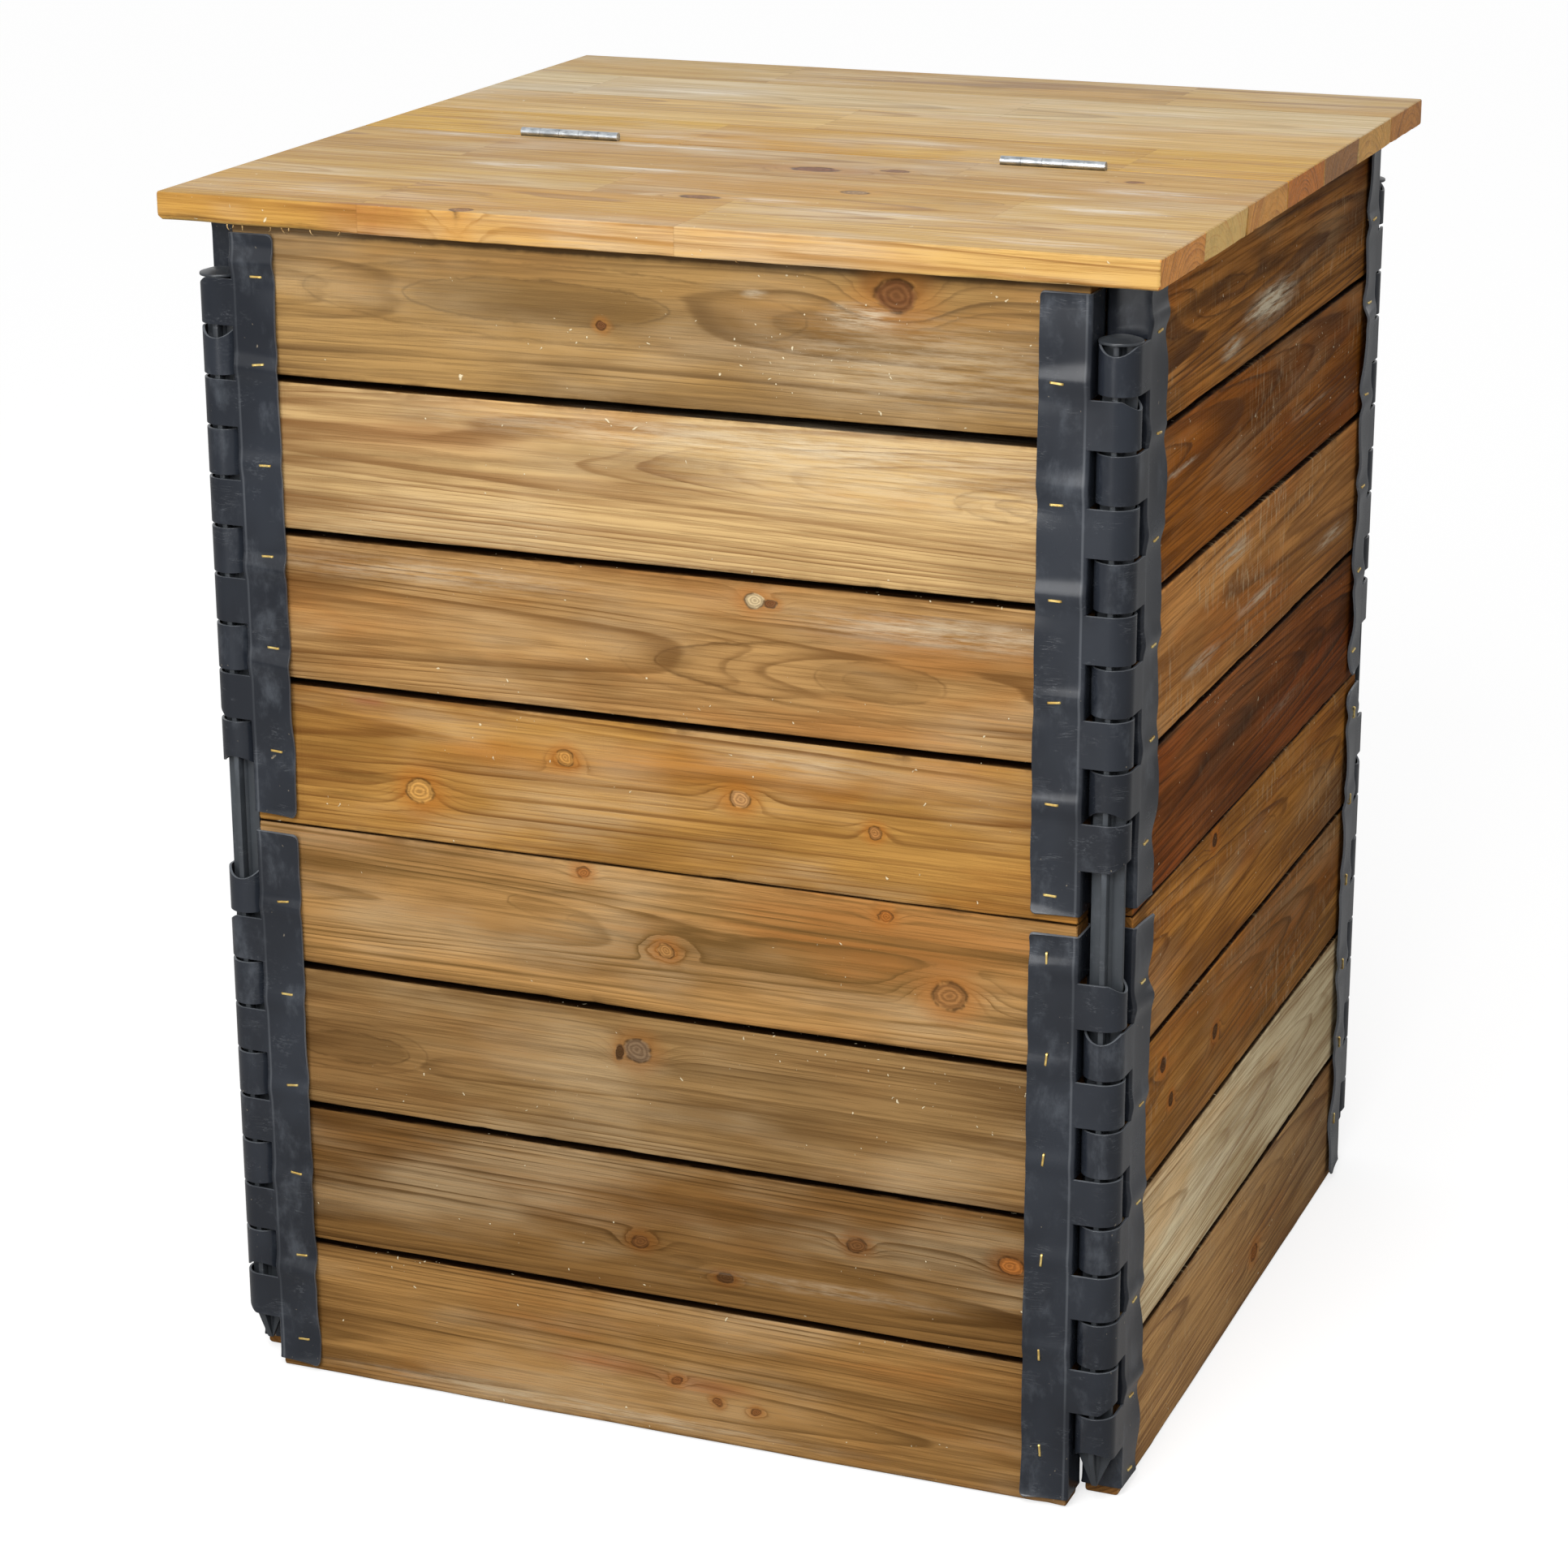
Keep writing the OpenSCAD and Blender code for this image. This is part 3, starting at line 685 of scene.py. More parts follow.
# The grain of a board that the photo doesn't show
def hiddenBoard(order, centre):
    rng = random.Random(500 + order)

    def anywhere(reach, rise, *ranges):
        return (rng.uniform(-reach, reach), centre + rng.uniform(-rise, rise),
                *(rng.uniform(*ends) for ends in ranges))

    def knot():
        return (*anywhere(230, 34, (4, 11), (3.4, 8)), knotTones[rng.randrange(3)], rng.uniform(1.6, 3))

    light, lines = hiddenTones[order % 4]
    return {"light": light, "lines": lines, "seed": 90 + 4.7 * order, "pithHeight": rng.uniform(-26, 26),
            "pithDepth": rng.uniform(20, 44), "taper": rng.uniform(-0.03, 0.03),
            "ringWidth": rng.uniform(2.6, 3.8), "dust": rng.uniform(0.2, 0.7),
            "knots": [knot() for number in range(rng.choice((1, 2, 2, 3)))],
            "swells": [anywhere(150, 20, (60, 150), (9, 18), (1.6, 3))],
            "stains": [anywhere(200, 25, (50, 120), (8, 20), (0.2, 0.5))],
            "rubs": [anywhere(200, 30, (30, 80), (3, 9), (0.3, 0.6))]}


for order, (side, tier, row) in enumerate(product(sides, tiers, range(4))):
    panel, node = f"{tier}_{side}_{row + 1}", f"{tier}_{side}_board_{row + 1}"
    centre = tiers.index(tier) * tierHeight + (3 - row) * boardPitch + halfBoard
    settings = boardSettings.get(panel) or hiddenBoard(order, centre)
    if side == "right":
        settings = {**rightWood, **settings}
    wood = makeWood("wood_" + node, {**settings, "openTop": tier == "upper" and row == 0}, centre)
    rng = random.Random(40 + order)
    easing = [rng.uniform(1.5, 2.6) * mm for corner in range(4)]
    slim = slimSettings.get(panel) or [(rng.uniform(0, 0.5), rng.uniform(0, 0.5)) for edge in range(2)]
    size = {**boardSize, "seed": 3.7 * order + 1, "easing": easing, "slim": slim}
    matrix = sideTurn(side) @ Matrix.Translation((0, -panelReach * mm, centre * mm))
    piece = placePiece(timberMesh(node + "_timber", size), matrix, "frame", wood)
    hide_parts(node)
print("boards:", order + 1)


# Lid: seven lamellas glued edge to edge, seam and hinge pockets between the third and the fourth
# Painted light: the lamellas' end colours are lighter than end grain, and stand in for the light on the lid's
# ends
lidSettings = (
    {"name": "flap_lamella_front", "from": -316, "to": -223.5, "body": "flap", "light": "#c7a056",
     "lines": "#a47838", "seed": 101.3, "pithHeight": 22, "pithDepth": 26, "ringWidth": 4.4,
     "end": "#ee9e49", "endLines": "#a85716", "staves": ((-183, "#b07c40", 0.3), (25, "#dcc8a0", 0.25)),
     "dust": 0.3, "knots": ((-116, -309, 7, 6, "#8f602f", 2.6),), "ovals": ((-155, -256, 34, 9, 0.6),),
     "swells": ((-155, -256, 44, 14, 2.4),), "reds": ((-172, -313, 48, 6, 0.6),),
     "rubs": ((125, -236, 90, 10, 0.6), (240, -290, 60, 14, 0.5), (-234, -280, 40, 14, 0.5))},
    {"name": "flap_lamella_middle", "from": -223.5, "to": -131, "body": "flap", "light": "#c3a05d",
     "lines": "#a77c3b", "seed": 107.9, "pithHeight": -34, "pithDepth": 34, "ringWidth": 4.0,
     "end": "#f1c776", "endLines": "#e59439", "staves": ((-70, "#c08c4e", 0.25), (190, "#d8b47c", 0.2)),
     "knots": ((1, -218, 12, 6, "#7d5232", 2.4), (84, -170, 9, 6, "#a08260", 2.8)),
     "arches": ((182, -178, -90, 18, 0.7), (150, -176, -60, 10, 0.4)), "rubs": ((-160, -150, 46, 12, 0.8),
     (-73, -138, 40, 8, 0.8), (44, -215, 34, 9, 0.6), (243, -179, 50, 16, 0.8), (195, -140, 50, 8, 0.6))},
    {"name": "flap_lamella_rear", "from": -131, "to": -38.5, "body": "flap", "light": "#c19d5c",
     "lines": "#9c7337", "seed": 113.2, "pithHeight": 14, "pithDepth": 22, "ringWidth": 4.6,
     "end": "#eca753", "endLines": "#bd6a1d", "seam": 1,
     "staves": ((-205, "#b27f42", 0.25), (120, "#c89654", 0.2)), "swells": ((52, -97, 100, 20, 3.0),),
     "reds": ((36, -98, 60, 16, 0.5),), "stains": ((40, -98, 110, 14, 0.35),),
     "knots": ((30, -99, 16, 8, "#7a4624", 3.2), (80, -88, 9, 5, "#84583a", 2.2),
     (233, -76, 6, 4, "#8a5428", 2.0)),
     "rubs": ((-92, -50, 64, 9, 0.8), (-240, -50, 60, 10, 0.6), (250, -112, 50, 14, 0.7))},
    {"name": "rear_lamella_1", "from": -37.5, "to": 53.6, "body": "lid", "light": "#d0a647",
     "lines": "#a47327", "seed": 119.8, "pithHeight": -6, "pithDepth": 13, "ringWidth": 4.0,
     "end": "#d67f32", "endLines": "#803d0d", "seam": -1,
     "staves": ((-90, "#b88646", 0.2), (210, "#d0a468", 0.2)),
     "rubs": ((60, 20, 60, 14, 0.4), (-110, -15, 80, 9, 0.5))},
    {"name": "rear_lamella_2", "from": 53.6, "to": 144.8, "body": "lid", "light": "#d7b574",
     "lines": "#ae874b", "seed": 125.4, "pithHeight": 30, "pithDepth": 30, "ringWidth": 4.2,
     "end": "#a67142", "endLines": "#5a351a", "staves": ((-30, "#c29250", 0.2),),
     "rubs": ((150, 90, 60, 14, 0.4),)},
    {"name": "rear_lamella_3", "from": 144.8, "to": 235.9, "body": "lid", "light": "#d8c49a",
     "lines": "#b49766", "seed": 131.7, "pithHeight": -20, "pithDepth": 40, "ringWidth": 3.8,
     "end": "#eaaf59", "endLines": "#c27e2d", "staves": ((-250, "#bd8c4c", 0.2), (70, "#dab984", 0.2)),
     "rubs": ((-161, 181, 50, 16, 0.7), (153, 192, 70, 14, 0.5))},
    {"name": "rear_lamella_4", "from": 235.9, "to": 327, "body": "lid", "light": "#c8a96d",
     "lines": "#9f7944", "seed": 137.6, "pithHeight": 12, "pithDepth": 20, "ringWidth": 4.2,
     "end": "#d18c44", "endLines": "#824213", "staves": ((-140, "#b68446", 0.2), (160, "#cba064", 0.2)),
     "stains": ((16, 275, 24, 12, 0.45), (150, 271, 22, 12, 0.4)), "rubs": ((-111, 258, 70, 14, 0.5),)},
)
lidWood = {"saw": 0.5, "rough": 0.48, "shine": 0.2, "shadeBy": (0.8, 0.74, 0.66), "warmBy": (0.88, 0.72, 0.5),
           "haze": "#d2cabb", "hazing": 0.55, "contrast": 0.8, "lineContrast": 0.8, "streaks": 0.6,
           "wear": 0.15, "warmth": 0.6, "dust": 0.15, "fibres": 0.5, "edges": "#f8eeda",
           "rubTone": "#e2dacc"}
lidSize = {"length": 642 * mm, "thick": 18 * mm, "warp": 0.0, "facePoints": (8, 2, 26, 2),
           "endChips": 2.4 * mm}
lidMiddle = 787                         # height of the lid's middle, mm
layDown = Matrix.Rotation(math.radians(-90), 4, "X")
pocketPlace, pocketHalf = 168, 35.3     # the hinge pockets' middles and half their length, mm


def seamPockets(seam):
    def ragged(x, corner, zOut, radius):
        onSeam = corner in ((0, 3) if seam > 0 else (1, 2))
        if onSeam and abs(abs(x) - pocketPlace * mm) < pocketHalf * mm:
            return zOut - 1.1 * mm, (1.5 if corner < 2 else 0.3) * mm
        return zOut, 0.5 * mm if onSeam else radius
    return ragged


# The flap's lower front edge is rough, and waney at its left end
def wornFront(x, corner, zOut, radius):
    if corner == 2:
        rough = max(0.0, wobble(x * 38, 3.1, 8.8) + 0.1)
        wane = max(0.0, min(1.0, (-x / mm - 185) / 45))
        radius += (1.6 * rough + wane * (3.2 + 3 * wobble(x * 24, 1.7, 2.2))) * mm
    return zOut, radius


for index, lamella in enumerate(lidSettings):
    low, high, seam = lamella["from"], lamella["to"], lamella.get("seam", 0)
    middle = (low + high) / 2
    isFront, isBack = index == 0, index == len(lidSettings) - 1
    frontEase, backEase = (1.3 if isFront else 0.35) * mm, (1.3 if isBack else 0.35) * mm
    size = {**lidSize, "wide": (high - low) * mm, "seed": 5.1 * index + 2, "chips": 2.0 if isFront else 0.6,
            "easing": (backEase, frontEase, frontEase, backEase)}
    if isFront:
        size["ragged"] = wornFront
    if seam:
        size["ragged"] = seamPockets(seam)
        size["extraStations"] = [side * (pocketPlace + edge * (pocketHalf + out)) * mm
                                 for side, edge, out in product((-1, 1), (-1, 1), (-0.05, 0.05))]
    wood = makeWood("wood_" + lamella["name"], {**lidWood, **lamella}, middle)
    matrix = Matrix.Translation((0, middle * mm, lidMiddle * mm)) @ layDown
    piece = placePiece(timberMesh(lamella["name"], size), matrix, lamella["body"], wood)
    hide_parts("lid_flap_panel" if lamella["body"] == "flap" else "lid_rear_panel")
print("lid lamellas:", len(lidSettings))


# Loose fibres that hang from the flap's front edge: x, length and lean, mm
splinterSettings = ((-273, 8.0, 0.5), (-268, 6.0, -0.5), (-262, 9.0, -0.2), (-243, 7.0, -0.4),
                    (-236, 8.0, 0.7), (-231, 5.0, 0.3), (-216, 7.0, 0.9), (-195, 6.0, -0.8), (64, 4.0, 0.6),
                    (150, 3.5, -0.5))


def splinterMesh(name):
    verts, faces = [], []
    rings, around, edgeY, edgeZ = 9, 6, -314.6, 778.6
    for number, (x, length, lean) in enumerate(splinterSettings):
        faces += tube(len(verts), rings, around, flipped=True)
        for i in range(rings):
            part = i / (rings - 1)
            radius = (0.42 * (1 - part) ** 0.7 + 0.05) * mm
            middleX = x + lean * length * part ** 1.6
            middleY = edgeY - 1.1 * math.sin(part * 2.6 + number)
            middleZ = edgeZ - length * part + 0.5 * part * part * length
            verts += [(middleX * mm + x, middleY * mm + y, middleZ * mm) for x, y in circle(radius, around)]
    return newMesh(name, verts, faces)


fibreWood = makeWood("wood_fibres", {"light": "#d8bd8a", "lines": "#a8834c", "seed": 151.0, "dust": 0.0})
placePiece(splinterMesh("flap_edge_fibres"), Matrix(), "flap", fibreWood, 60)


# Plastic of the strips and pins
plasticSettings = {
    "base": "#252930", "dark": "#1c1f25", "dust": "#6a6f76", "scuff": "#85898e", "rough": 0.27,
    "foldLine": 275.4 * mm,     # where the sheet is folded, from the panel's middle
}


def makePlastic(name, settings, rubbing):
    made, g, shader = newMaterial(name)
    place = g.node("TexCoord", {})["Object"]
    marks = g.use(scuffs, {"Place": place, "Amount": rubbing})
    cloud, rub, scratch, scuff = marks["Cloud"], marks["Rub"], marks["Scratch"], colour(settings["scuff"])
    tint = g.mix(g.remap(cloud, 0.35, 0.65), colour(settings["dark"]), colour(settings["base"]))
    slanted = g.vector("ADD", place, g.vector("MULTIPLY", cloud, (0.03, 0.03, 0.0)))
    smear = g.remap(g.noise(slanted, (34.0, 34.0, 20.0), 6.0, 0.66), 0.5, 0.74)
    tint = g.mix(smear * 0.3, tint, colour(settings["dust"]))
    tint = g.mix(rub * 0.4, tint, scuff)
    tint = g.mix(scratch * 0.4, tint, scuff)
    # Painted highlight: a thin lighter line along the fold where the sheet bends round the boards' ends
    fold = abs(abs(g.apart(place)[0]) - settings["foldLine"])
    fold = g.remap(fold, 1.1 * mm, 0.3 * mm) * g.remap(cloud, 0.3, 0.6, 0.3, 1.0)
    tint = g.mix(fold * 0.2, tint, scuff)
    speck = g.use(dustSpecks, {"Place": place, "Amount": 0.25, "Spacing": 3.0 * mm})["Speck"]
    tint = g.mix(speck * 0.4, tint, colour("#a79a84"))
    rough = rub * 0.25 + (cloud * 0.16 + (settings["rough"] - 0.1))
    height = g.noise(place, 240.0, 2.0, 0.6) * 0.05 + scratch * -0.3
    g.dress(shader, tint, rough, height, 0.5, 0.6 * mm)
    shader["Specular IOR Level"].default_value = 0.36
    return made


stripPlastic = makePlastic("strip_plastic", plasticSettings, 0.35)
# The strips' cut edges (the solidify rims) take a lighter plastic: a painted highlight along those edges
paintedRimHighlightTones = {"base": "#63676c", "dark": "#4b4e53", "rough": 0.4}
paintedRimHighlightPlastic = makePlastic("strip_rim_painted_highlight", {**plasticSettings, **paintedRimHighlightTones}, 0.5)
pinTones = {"base": "#3a3e42", "dark": "#2d3034", "rough": 0.38}
pinPlastic = makePlastic("pin_plastic", {**plasticSettings, **pinTones}, 0.5)


# Hinge strips: sheet folded round the boards' ends, looped round the pin at every second knuckle.
# In mm: u runs from the pin's axis into the panel, v out of it, z up
stripShape = {
    "low": 6.5, "high": 382.5, "sheet": 1.7,
    "boardEnd": 15.5, "flange": 29.0,      # where the boards end (u), and the flanges' width from there
    "fold": 13.5,                          # the sheet's place over the boards' ends (u)
    "staples": 17.0,                       # the staples' middle, from boardEnd on
    "loop": 13.0, "bore": 11.0,            # the sheet's outer and inner place (v), and radius round the pin
    "firstKnuckle": 355.8, "pitch": 32.0,  # the knuckles' feet lie whole pitches below the first (z)
    "knuckle": 29.4,
    "scoop": 15.0, "scoopDepth": 6.0,      # the hollow that is cut into the outermost knuckles
    "row": 3.0,                            # about how high one row of faces is
}
# How far below the top of their tier the staples sit, as measured on the photo
stapleDepths = {
    "upper_front_left": (33, 88, 152, 211, 271, 340), "upper_front_right": (59, 131, 188, 250, 313, 371),
    "lower_front_left": (53, 117, 181, 244, 304, 366), "lower_front_right": (22, 87, 153, 220, 284, 351),
    "upper_right_left": (34, 94, 158, 223, 281, 346), "lower_right_left": (47, 127, 193, 259, 325, 377),
}


# The upper tier's left strips and the lower tier's right ones start one knuckle higher
def startsHigh(tier, end):
    return (tier == "upper") == (end == "left")


def ownKnuckles(tier, end):
    return [stripShape["firstKnuckle"] - number * stripShape["pitch"]
            for number in range(1 if startsHigh(tier, end) else 2, 11, 2)]


def stapleHeights(tier, side, end, outer):
    rng = random.Random(f"{tier}{side}{end}{outer}")
    given = stapleDepths.get(f"{tier}_{side}_{end}") if outer else None
    start = 27 if startsHigh(tier, end) else 54
    depths = given or [start + 63 * i + rng.uniform(-4, 4) for i in range(6)]
    return [tierHeight - depth for depth in depths]


# Where a flange bulges: at each knuckle a crest, held down by the staples
def sheetPlan(tier, side, end, outer):
    rng = random.Random(f"{end}{outer}{side}{tier}")
    crests = []
    for low in ownKnuckles(tier, end):
        size = rng.uniform(3.0, 3.9) if outer else rng.uniform(0.4, 0.9)
        place = low + stripShape["knuckle"] + 10 + rng.uniform(-1.5, 1.5)
        crests.append((place, size, rng.uniform(6.2, 7.6)))
    return {"crests": crests, "staples": stapleHeights(tier, side, end, outer), "seed": rng.uniform(0, 50),
            "wave": 3.0 if outer else 1.2}


def fromEnd(z):
    return min(z - stripShape["low"], stripShape["high"] - z)


def sheetLift(z, across, plan):
    lift = sum(size * math.exp(-((z - centre) / spread) ** 2) for centre, size, spread in plan["crests"])
    free = 1 - math.exp(-(min(abs(z - height) for height in plan["staples"]) / 14) ** 2)
    lift *= (0.7 + 0.3 * free) * (0.7 + 0.3 * across)
    wave = plan["wave"] * (0.9 + 0.9 * wobble(z * 0.021, plan["seed"], 0.5))
    lift += wave * free * (0.12 + 0.88 * across ** 1.6)
    return lift + 1.3 * max(0.0, 1 - fromEnd(z) / 6) ** 2 * (0.45 + 0.55 * across)


# Where a point of the flat section comes to lie
def bentPoint(u, v, z, plans):
    plan = plans[0] if v > 0 else plans[1]
    if abs(v) <= stripShape["bore"] and u < stripShape["boardEnd"] - 0.5:
        follows = abs(u - stripShape["fold"]) < 0.01
        return u, v * (1 + 0.7 * sheetLift(z, 0, plan) / stripShape["bore"]) if follows else v
    across = min(max((u - stripShape["boardEnd"]) / stripShape["flange"], 0), 1)
    inEnd = 3 - min(fromEnd(z), 3)
    u -= (3 - math.sqrt(max(0.0, 9 - inEnd ** 2))) * across ** 3     # the flanges' corners are rounded
    lift = sheetLift(z, across, plan)
    toEnd = min(max(u / stripShape["boardEnd"], 0.0), 1.0)
    return u, v + math.copysign(lift * toEnd ** 2 * (3 - 2 * toEnd), v)


def mirrored(points):
    return [(u, -v) for u, v in reversed(points)]


# The section's columns (u, v): the flanges, the loop round the pin, and the fold between the knuckles
outer = stripShape["loop"]
flangeColumns = [(u, outer) for u in (44.5, 44.0, 42.6, 40.4, 37.6, 34.8, 32.0, 29.2, 26.4, 23.6, 21.0,
                                      18.6, 16.8, 15.5)]
loopSide = [(u, outer) for u in (15.5, 13.0, 10.0, 7.0, 4.0, 1.8)]
loopTurns = [math.radians(90 + 180 * i / 26) for i in range(27)]
nose = [(outer * math.cos(a), outer * math.sin(a)) for a in loopTurns]
loopColumns = loopSide + nose + mirrored(loopSide)
bendTurns = [math.radians(d) for d in (0, 22.5, 45, 67.5, 90)]
bend = [(stripShape["boardEnd"] - 2 * math.sin(a), stripShape["bore"] + 2 * math.cos(a)) for a in bendTurns]
foldColumns = bend + [(stripShape["fold"], v) for v in (8.0, 4.0, 0.0, -4.0, -8.0)] + mirrored(bend)


def stripMesh(name, tier, side, end):
    shape, own = stripShape, ownKnuckles(tier, end)
    plans = sheetPlan(tier, side, end, True), sheetPlan(tier, side, end, False)
    nearEnds = (0, 0.5, 1.3, 3, 6)
    edges = sorted([shape["low"] + d for d in nearEnds] + [shape["high"] - d for d in nearEnds]
                   + own + [low + shape["knuckle"] for low in own])
    flip = -1 if end == "left" else 1
    verts, faces = [], []

    def scoop(u, v):
        if u > 0.5 or abs(v) >= 12:
            return 0.0
        return math.sqrt(shape["scoop"] ** 2 - v * v) - (shape["scoop"] - shape["scoopDepth"])

    def addPatch(columns, low, high, scoopLow=False, scoopHigh=False):
        rows, start = max(1, round((high - low) / shape["row"])), len(verts)
        for u, v in columns:
            bottom, top = low + scoop(u, v) * scoopLow, high - scoop(u, v) * scoopHigh
            for r in range(rows + 1):
                z = bottom + (top - bottom) * r / rows
                bentU, bentV = bentPoint(u, v, z, plans)
                verts.append((flip * (panelReach - bentU) * mm, -bentV * mm, z * mm))
        for k, r in product(range(len(columns) - 1), range(rows)):
            a = start + k * (rows + 1) + r
            b = a + rows + 1
            faces.append((a, a + 1, b + 1, b)[::-flip])

    for low, high in zip(edges, edges[1:]):
        addPatch(flangeColumns, low, high)
        addPatch(mirrored(flangeColumns), low, high)
        if low in own:
            addPatch(loopColumns, low, high, low == own[-1], low == own[0])
        else:
            addPatch(foldColumns, low, high)
    mesh = newMesh(name, verts, faces)
    work = bmesh.new()
    work.from_mesh(mesh)
    bmesh.ops.remove_doubles(work, verts=work.verts, dist=0.02 * mm)
    work.to_mesh(mesh)
    work.free()
    return mesh, plans


stapleSpots = []
for side, tier, end in product(sides, tiers, ("left", "right")):
    node = f"{tier}_{side}_strip_{end}"
    base = sideTurn(side) @ Matrix.Translation((0, -panelReach * mm, tiers.index(tier) * tierHeight * mm))
    mesh, plans = stripMesh(node + "_sheet", tier, side, end)
    piece = placePiece(mesh, base, "frame", stripPlastic, 50)
    # The rims take the lighter plastic, the painted highlight along the cut edges
    mesh.materials.append(paintedRimHighlightPlastic)
    solid = piece.modifiers.new("thickness", "SOLIDIFY")
    solid.thickness = stripShape["sheet"] * mm
    solid.offset = -1
    solid.use_even_offset = True
    solid.material_offset_rim = 1
    bevel = piece.modifiers.new("rim", "BEVEL")
    bevel.width = 0.3 * mm
    bevel.segments = 2
    bevel.limit_method = "ANGLE"
    bevel.angle_limit = math.radians(55)
    bevel.use_clamp_overlap = False
    bevel.harden_normals = True
    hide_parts(node)
    upright = tier == "lower" and end == "right"
    for plan, face in zip(plans, (1, -1)):
        for height in plan["staples"]:
            lift = sheetLift(height, stripShape["staples"] / stripShape["flange"], plan)
            stapleSpots.append((base, end, face, height, lift, upright))
print("strips: 16, staples:", len(stapleSpots))


# Staples: flattened wire bent round, each sitting on its sheet; in mm
stapleSettings = {"crown": 8.8, "wide": 1.35, "thick": 0.9, "leg": 9.0, "corner": 0.9}
# The wire's section, as parts of half its width and thickness
wireSection = ((-1, -0.6), (-1, 0.6), (-0.7, 1), (0.7, 1), (1, 0.6), (1, -0.6), (0.7, -1), (-0.7, -1))


def staplesMesh(name):
    s = stapleSettings
    verts, faces = [], []
    half, wide, thick = s["crown"] / 2 - s["thick"] / 2, s["wide"] / 2, s["thick"] / 2
    for number, (base, end, face, height, lift, upright) in enumerate(stapleSpots):
        rng = random.Random(900 + number)
        tilt = math.radians(rng.uniform(-7, 7) + (90 if upright else 0))
        u = stripShape["boardEnd"] + stripShape["staples"] + rng.uniform(-1.2, 1.2)
        sag = rng.uniform(0.0, 0.25)
        flip = -1 if end == "left" else 1
        path = [(-half, -s["leg"]), (-half, -s["corner"])]
        path += [(-half + s["corner"] * (1 - math.cos(a)), -s["corner"] * (1 - math.sin(a)))
                 for a in bendTurns[1:]]
        path += [(-half * 0.4, -sag * 0.8), (0, -sag)]
        path += [(-x, y) for x, y in reversed(path[:-1])]
        # The back face's staples are mirrored, so their faces run the other way
        faces += tube(len(verts), len(path), len(wireSection), flipped=face < 0)
        for i, (along, out) in enumerate(path):
            before, after = path[max(i - 1, 0)], path[min(i + 1, len(path) - 1)]
            dx, dy = after[0] - before[0], after[1] - before[1]
            size = math.hypot(dx, dy)
            for across, deep in wireSection:
                a = along - dy / size * deep * thick
                v = stripShape["loop"] + lift + thick - 0.1 + out + dx / size * deep * thick
                x = a * math.cos(tilt) - across * wide * math.sin(tilt)
                z = a * math.sin(tilt) + across * wide * math.cos(tilt)
                place = (flip * (panelReach - u) + x, -face * v, height + z)
                verts.append(base @ (Vector(place) * mm))
    return newMesh(name, verts, faces)


def makeMetal(name, settings):
    made, g, shader = newMaterial(name)
    place = g.node("TexCoord", {})["Object"]
    cloud = g.noise(place, settings["spread"], 3.0, 0.6)
    fine = g.noise(place, 900.0, 2.0, 0.6)
    tint = g.mix(g.remap(cloud, 0.36, 0.66), colour(settings["base"]), colour(settings["dull"]))
    g.dress(shader, tint, fine * 0.2 + (cloud * 0.2 + settings["rough"]), fine, 0.3, 0.2 * mm)
    shader["Metallic"].default_value = 1.0
    return made


brassWire = makeMetal("staple_brass", {"base": "#efd488", "dull": "#cba75c", "rough": 0.22, "spread": 80.0})
hingeSteel = makeMetal("hinge_steel", {"base": "#c3c7ca", "dull": "#8f9498", "rough": 0.16,
                                       "spread": (120.0, 300.0, 300.0)})
staplePiece = placePiece(staplesMesh("wire_staples"), Matrix(), "frame", brassWire, 40)
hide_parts("staples")


# Corner pins: four ribs round a core, pointed foot and a disc for a head; in mm
pinSettings = {"rib": 20.6, "ribThick": 3.5, "core": 4.0, "tip": 14.0, "tipHeight": 20.0, "head": 742.2,
               "steps": 60}
# The head's outline from its lower centre to its upper one: radius and height
headProfile = ((12.2, 0.0), (12.9, 0.15), (13.2, 0.5), (13.2, 1.5), (13.05, 1.85), (12.6, 2.05),
               (10.5, 2.7), (8.6, 3.3), (7.2, 3.7), (6.3, 3.9), (5.0, 4.0))


def pinSection(reach, core):
    half, ease = pinSettings["ribThick"] / 2, 0.5
    end = max(reach, core + 0.05)
    root = core * math.cos(math.asin(min(0.99, half / core)))
    rib = [(end - ease, -half), (end - ease * 0.3, -half + ease * 0.3), (end, -half + ease)]
    valley = core * math.cos(math.pi / 4)
    points = [(root, -half), *rib, *mirrored(rib), (root, half), (valley, valley)]
    quarters = [math.pi / 2 * quarter for quarter in range(4)]
    return [(x * math.cos(turn) - y * math.sin(turn), x * math.sin(turn) + y * math.cos(turn))
            for turn in quarters for x, y in points]


def pinMesh(name):
    s = pinSettings
    levels = [(s["tip"], 1.9, 1.85), (s["tip"] + 1.0, 2.3, 2.0)]
    for i in range(1, 8):
        part = i / 7
        z = s["tip"] + 1 + (s["tipHeight"] - 1) * part
        levels.append((z, 2.3 + (s["rib"] / 2 - 2.3) * part, min(s["core"], 2.2 + 2.4 * part)))
    foot = s["tip"] + s["tipHeight"]
    levels += [(foot + (s["head"] - foot) * i / s["steps"], s["rib"] / 2, s["core"])
               for i in range(1, s["steps"] + 1)]
    verts = [(x, y, z) for z, reach, core in levels for x, y in pinSection(reach, core)]
    faces = tube(0, len(levels), len(verts) // len(levels))
    bottom, around = len(verts), 64
    verts.append((0, 0, s["head"]))
    verts += [(x, y, s["head"] + z) for radius, z in headProfile for x, y in circle(radius, around)]
    faces += tube(bottom + 1, len(headProfile), around, capped=False)
    top, rim = len(verts), len(verts) - around
    verts.append((0, 0, s["head"] + headProfile[-1][1]))
    for k in range(around):
        j = (k + 1) % around
        faces += [(bottom, bottom + 1 + j, bottom + 1 + k), (rim + k, rim + j, top)]
    return newMesh(name, [(x * mm, y * mm, z * mm) for x, y, z in verts], faces)


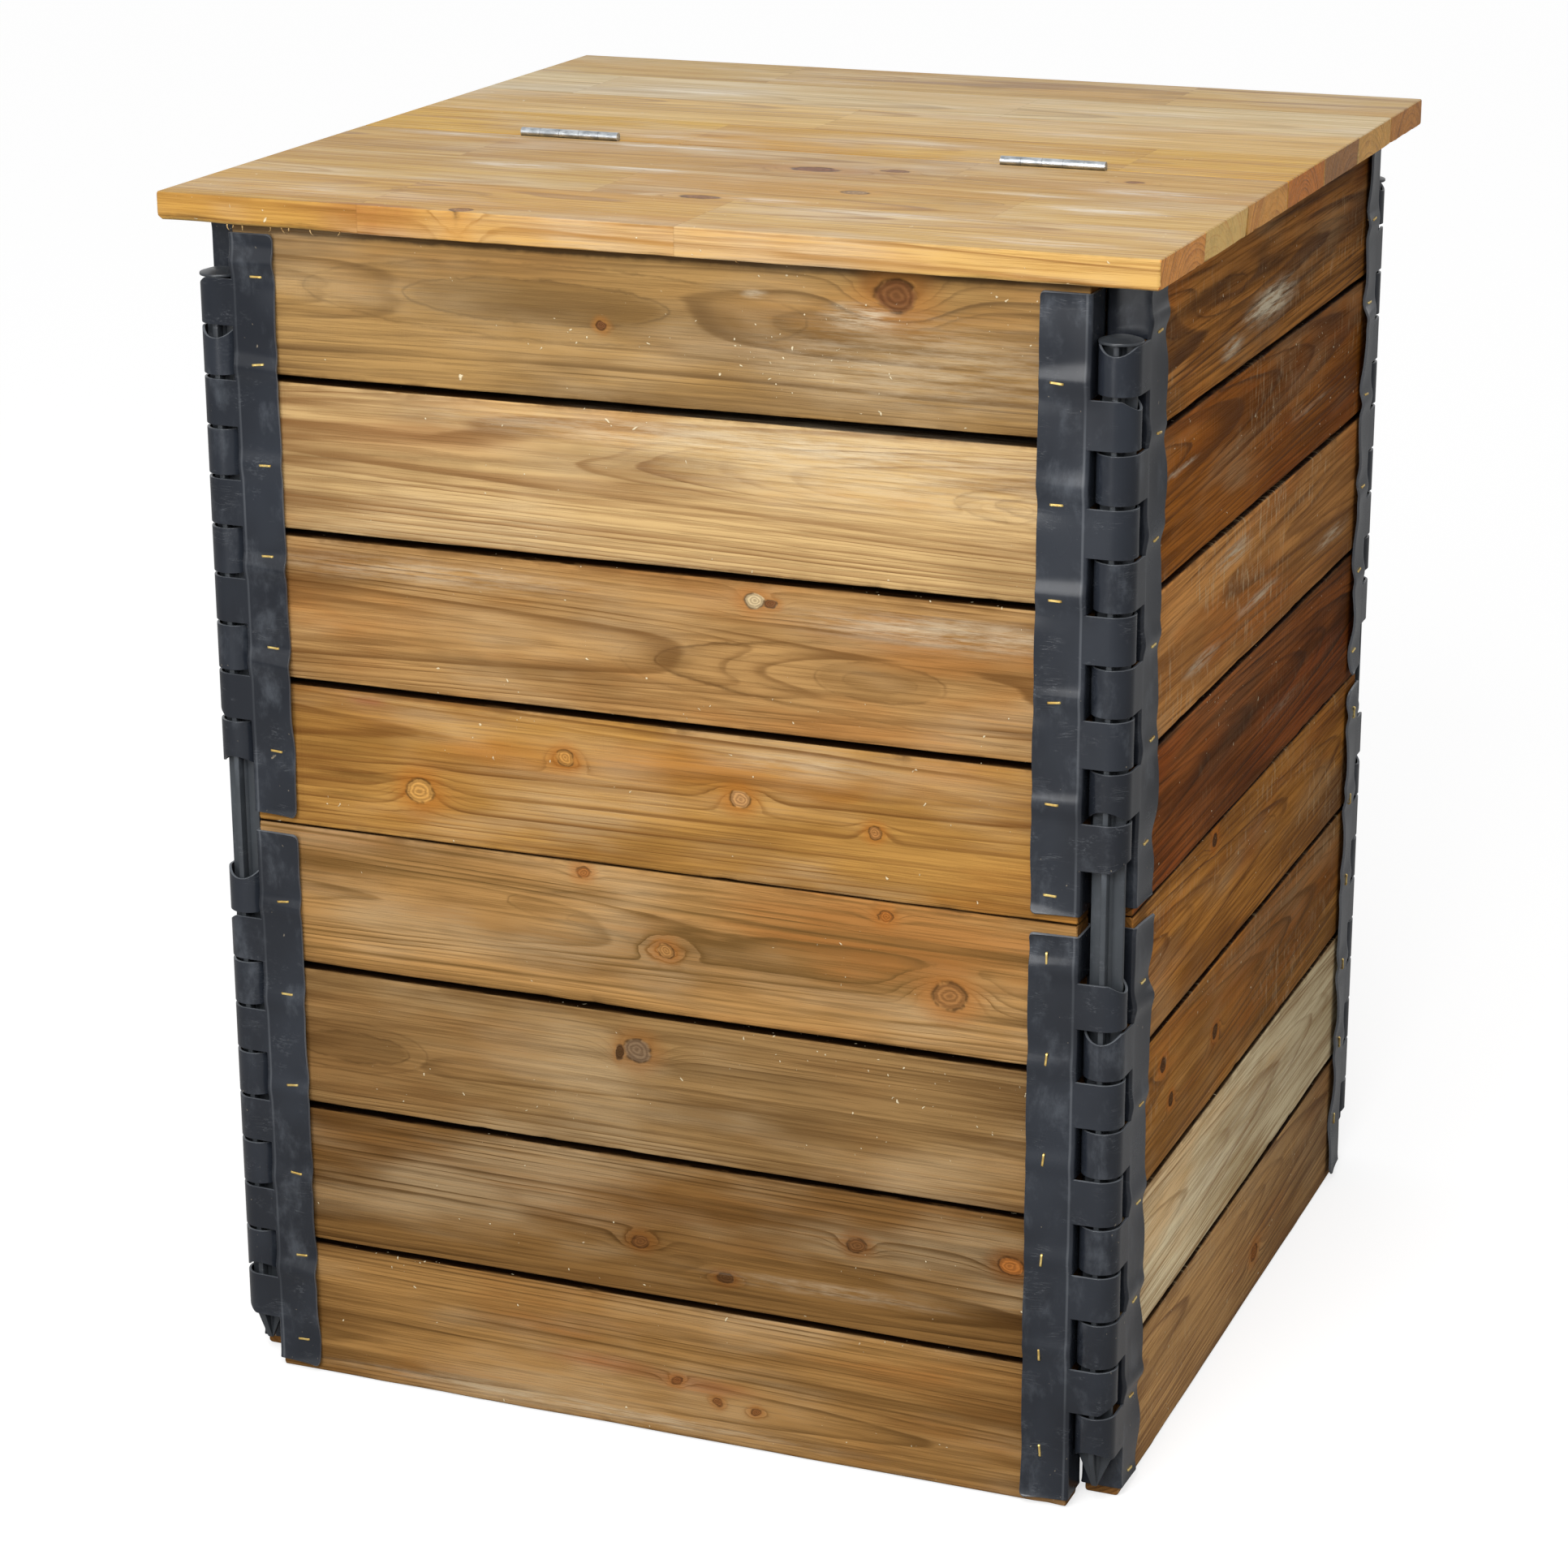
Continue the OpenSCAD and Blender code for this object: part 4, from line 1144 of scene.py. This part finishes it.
for corner, (x, y) in pinPlaces.items():
    matrix = Matrix.Translation((x * mm, y * mm, 0))
    mesh = pinMesh(f"pin_{corner}_moulding")
    piece = placePiece(mesh, matrix, f"pin_{corner}_body", pinPlastic, 40)
    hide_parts("pin_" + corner)
print("pins:", len(pinPlaces))


# The hinges' CAD nodes are shown as they are, in zinc-plated steel
for node in ("rear_hinge_leaves", "flap_hinge_leaves", "hinge_pins", "rear_hinge_screws",
             "flap_hinge_screws"):
    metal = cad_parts[node].data
    metal.materials.clear()
    metal.materials.append(hingeSteel)


# Stage, light and camera
stageSettings = {"sky": 0.45, "skyTop": 0.38, "floorTint": "#a8a8a8", "floorLift": 0.69, "floorRadius": 14,
                 "key": 41.0, "keyPlace": (0.34, -2.0, 1.8), "keySize": (1.1, 1.1),
                 "side": 18.0, "sidePlace": (-0.55, -2.5, 1.0), "sideSize": (0.6, 1.2),
                 "aim": (0, -0.2, 0.42)}
cameraSettings = {"lens": 91.58, "place": (0.9396, -2.4463, 1.2153), "ahead": (-0.3507, 0.8828, -0.3126),
                  "right": (0.9297, 0.3682, -0.0034)}


def makeFloor():
    rim = circle(stageSettings["floorRadius"], 96)
    mesh = newMesh("floor", [(x, y, -0.0005) for x, y in rim], [tuple(range(len(rim)))])
    made, g, shader = newMaterial("pale_floor")
    shader["Base Color"].default_value = colour(stageSettings["floorTint"])
    shader["Roughness"].default_value = 0.9
    shader["Specular IOR Level"].default_value = 0.1
    shader["Emission Color"].default_value = (1, 1, 1, 1)
    seen = g.node("LightPath", {})["Is Camera Ray"]
    g.plug(seen * stageSettings["floorLift"], shader["Emission Strength"])
    mesh.materials.append(made)
    addObject("floor", mesh)


# Light comes from a sky that is brighter above; seen directly or mirrored it is white
def makeWorld():
    world = bpy.data.worlds.new("studio")
    bpy.context.scene.world = world
    world.use_nodes = True
    g = Graph(world.node_tree)
    rays = g.node("LightPath", {})
    direct = g.higher(rays["Is Camera Ray"], g.higher(rays["Is Glossy Ray"], rays["Is Transmission Ray"]))
    upward = g.apart(g.node("TexCoord", {})["Generated"])[2]
    soft = g.higher(upward, 0.0) * stageSettings["skyTop"] + stageSettings["sky"]
    background = world.node_tree.nodes["Background"].inputs
    background["Color"].default_value = (1, 1, 1, 1)
    g.plug(soft + direct * (1.0 - soft), background["Strength"])


def makeSoftbox(name):
    light = bpy.data.lights.new(name, "AREA")
    light.energy = stageSettings[name]
    light.shape = "RECTANGLE"
    light.size, light.size_y = stageSettings[name + "Size"]
    lamp = addObject(name, light)
    lamp.location = stageSettings[name + "Place"]
    toAim = Vector(stageSettings["aim"]) - lamp.location
    lamp.rotation_euler = toAim.to_track_quat("-Z", "Y").to_euler()


def makeCamera():
    lens = bpy.data.cameras.new("camera")
    lens.sensor_fit = "HORIZONTAL"
    lens.sensor_width = 36
    lens.lens = cameraSettings["lens"]
    camera = addObject("camera", lens)
    back = -Vector(cameraSettings["ahead"]).normalized()
    right = Vector(cameraSettings["right"])
    right = (right - back * right.dot(back)).normalized()
    turn = Matrix((right, back.cross(right), back)).transposed().to_4x4()
    camera.matrix_world = Matrix.Translation(cameraSettings["place"]) @ turn
    bpy.context.scene.camera = camera


makeFloor()
makeWorld()
makeSoftbox("key")
makeSoftbox("side")
makeCamera()
bpy.context.scene.view_settings.view_transform = "Standard"
print("stage, light and camera set")

bpy.context.view_layer.update()
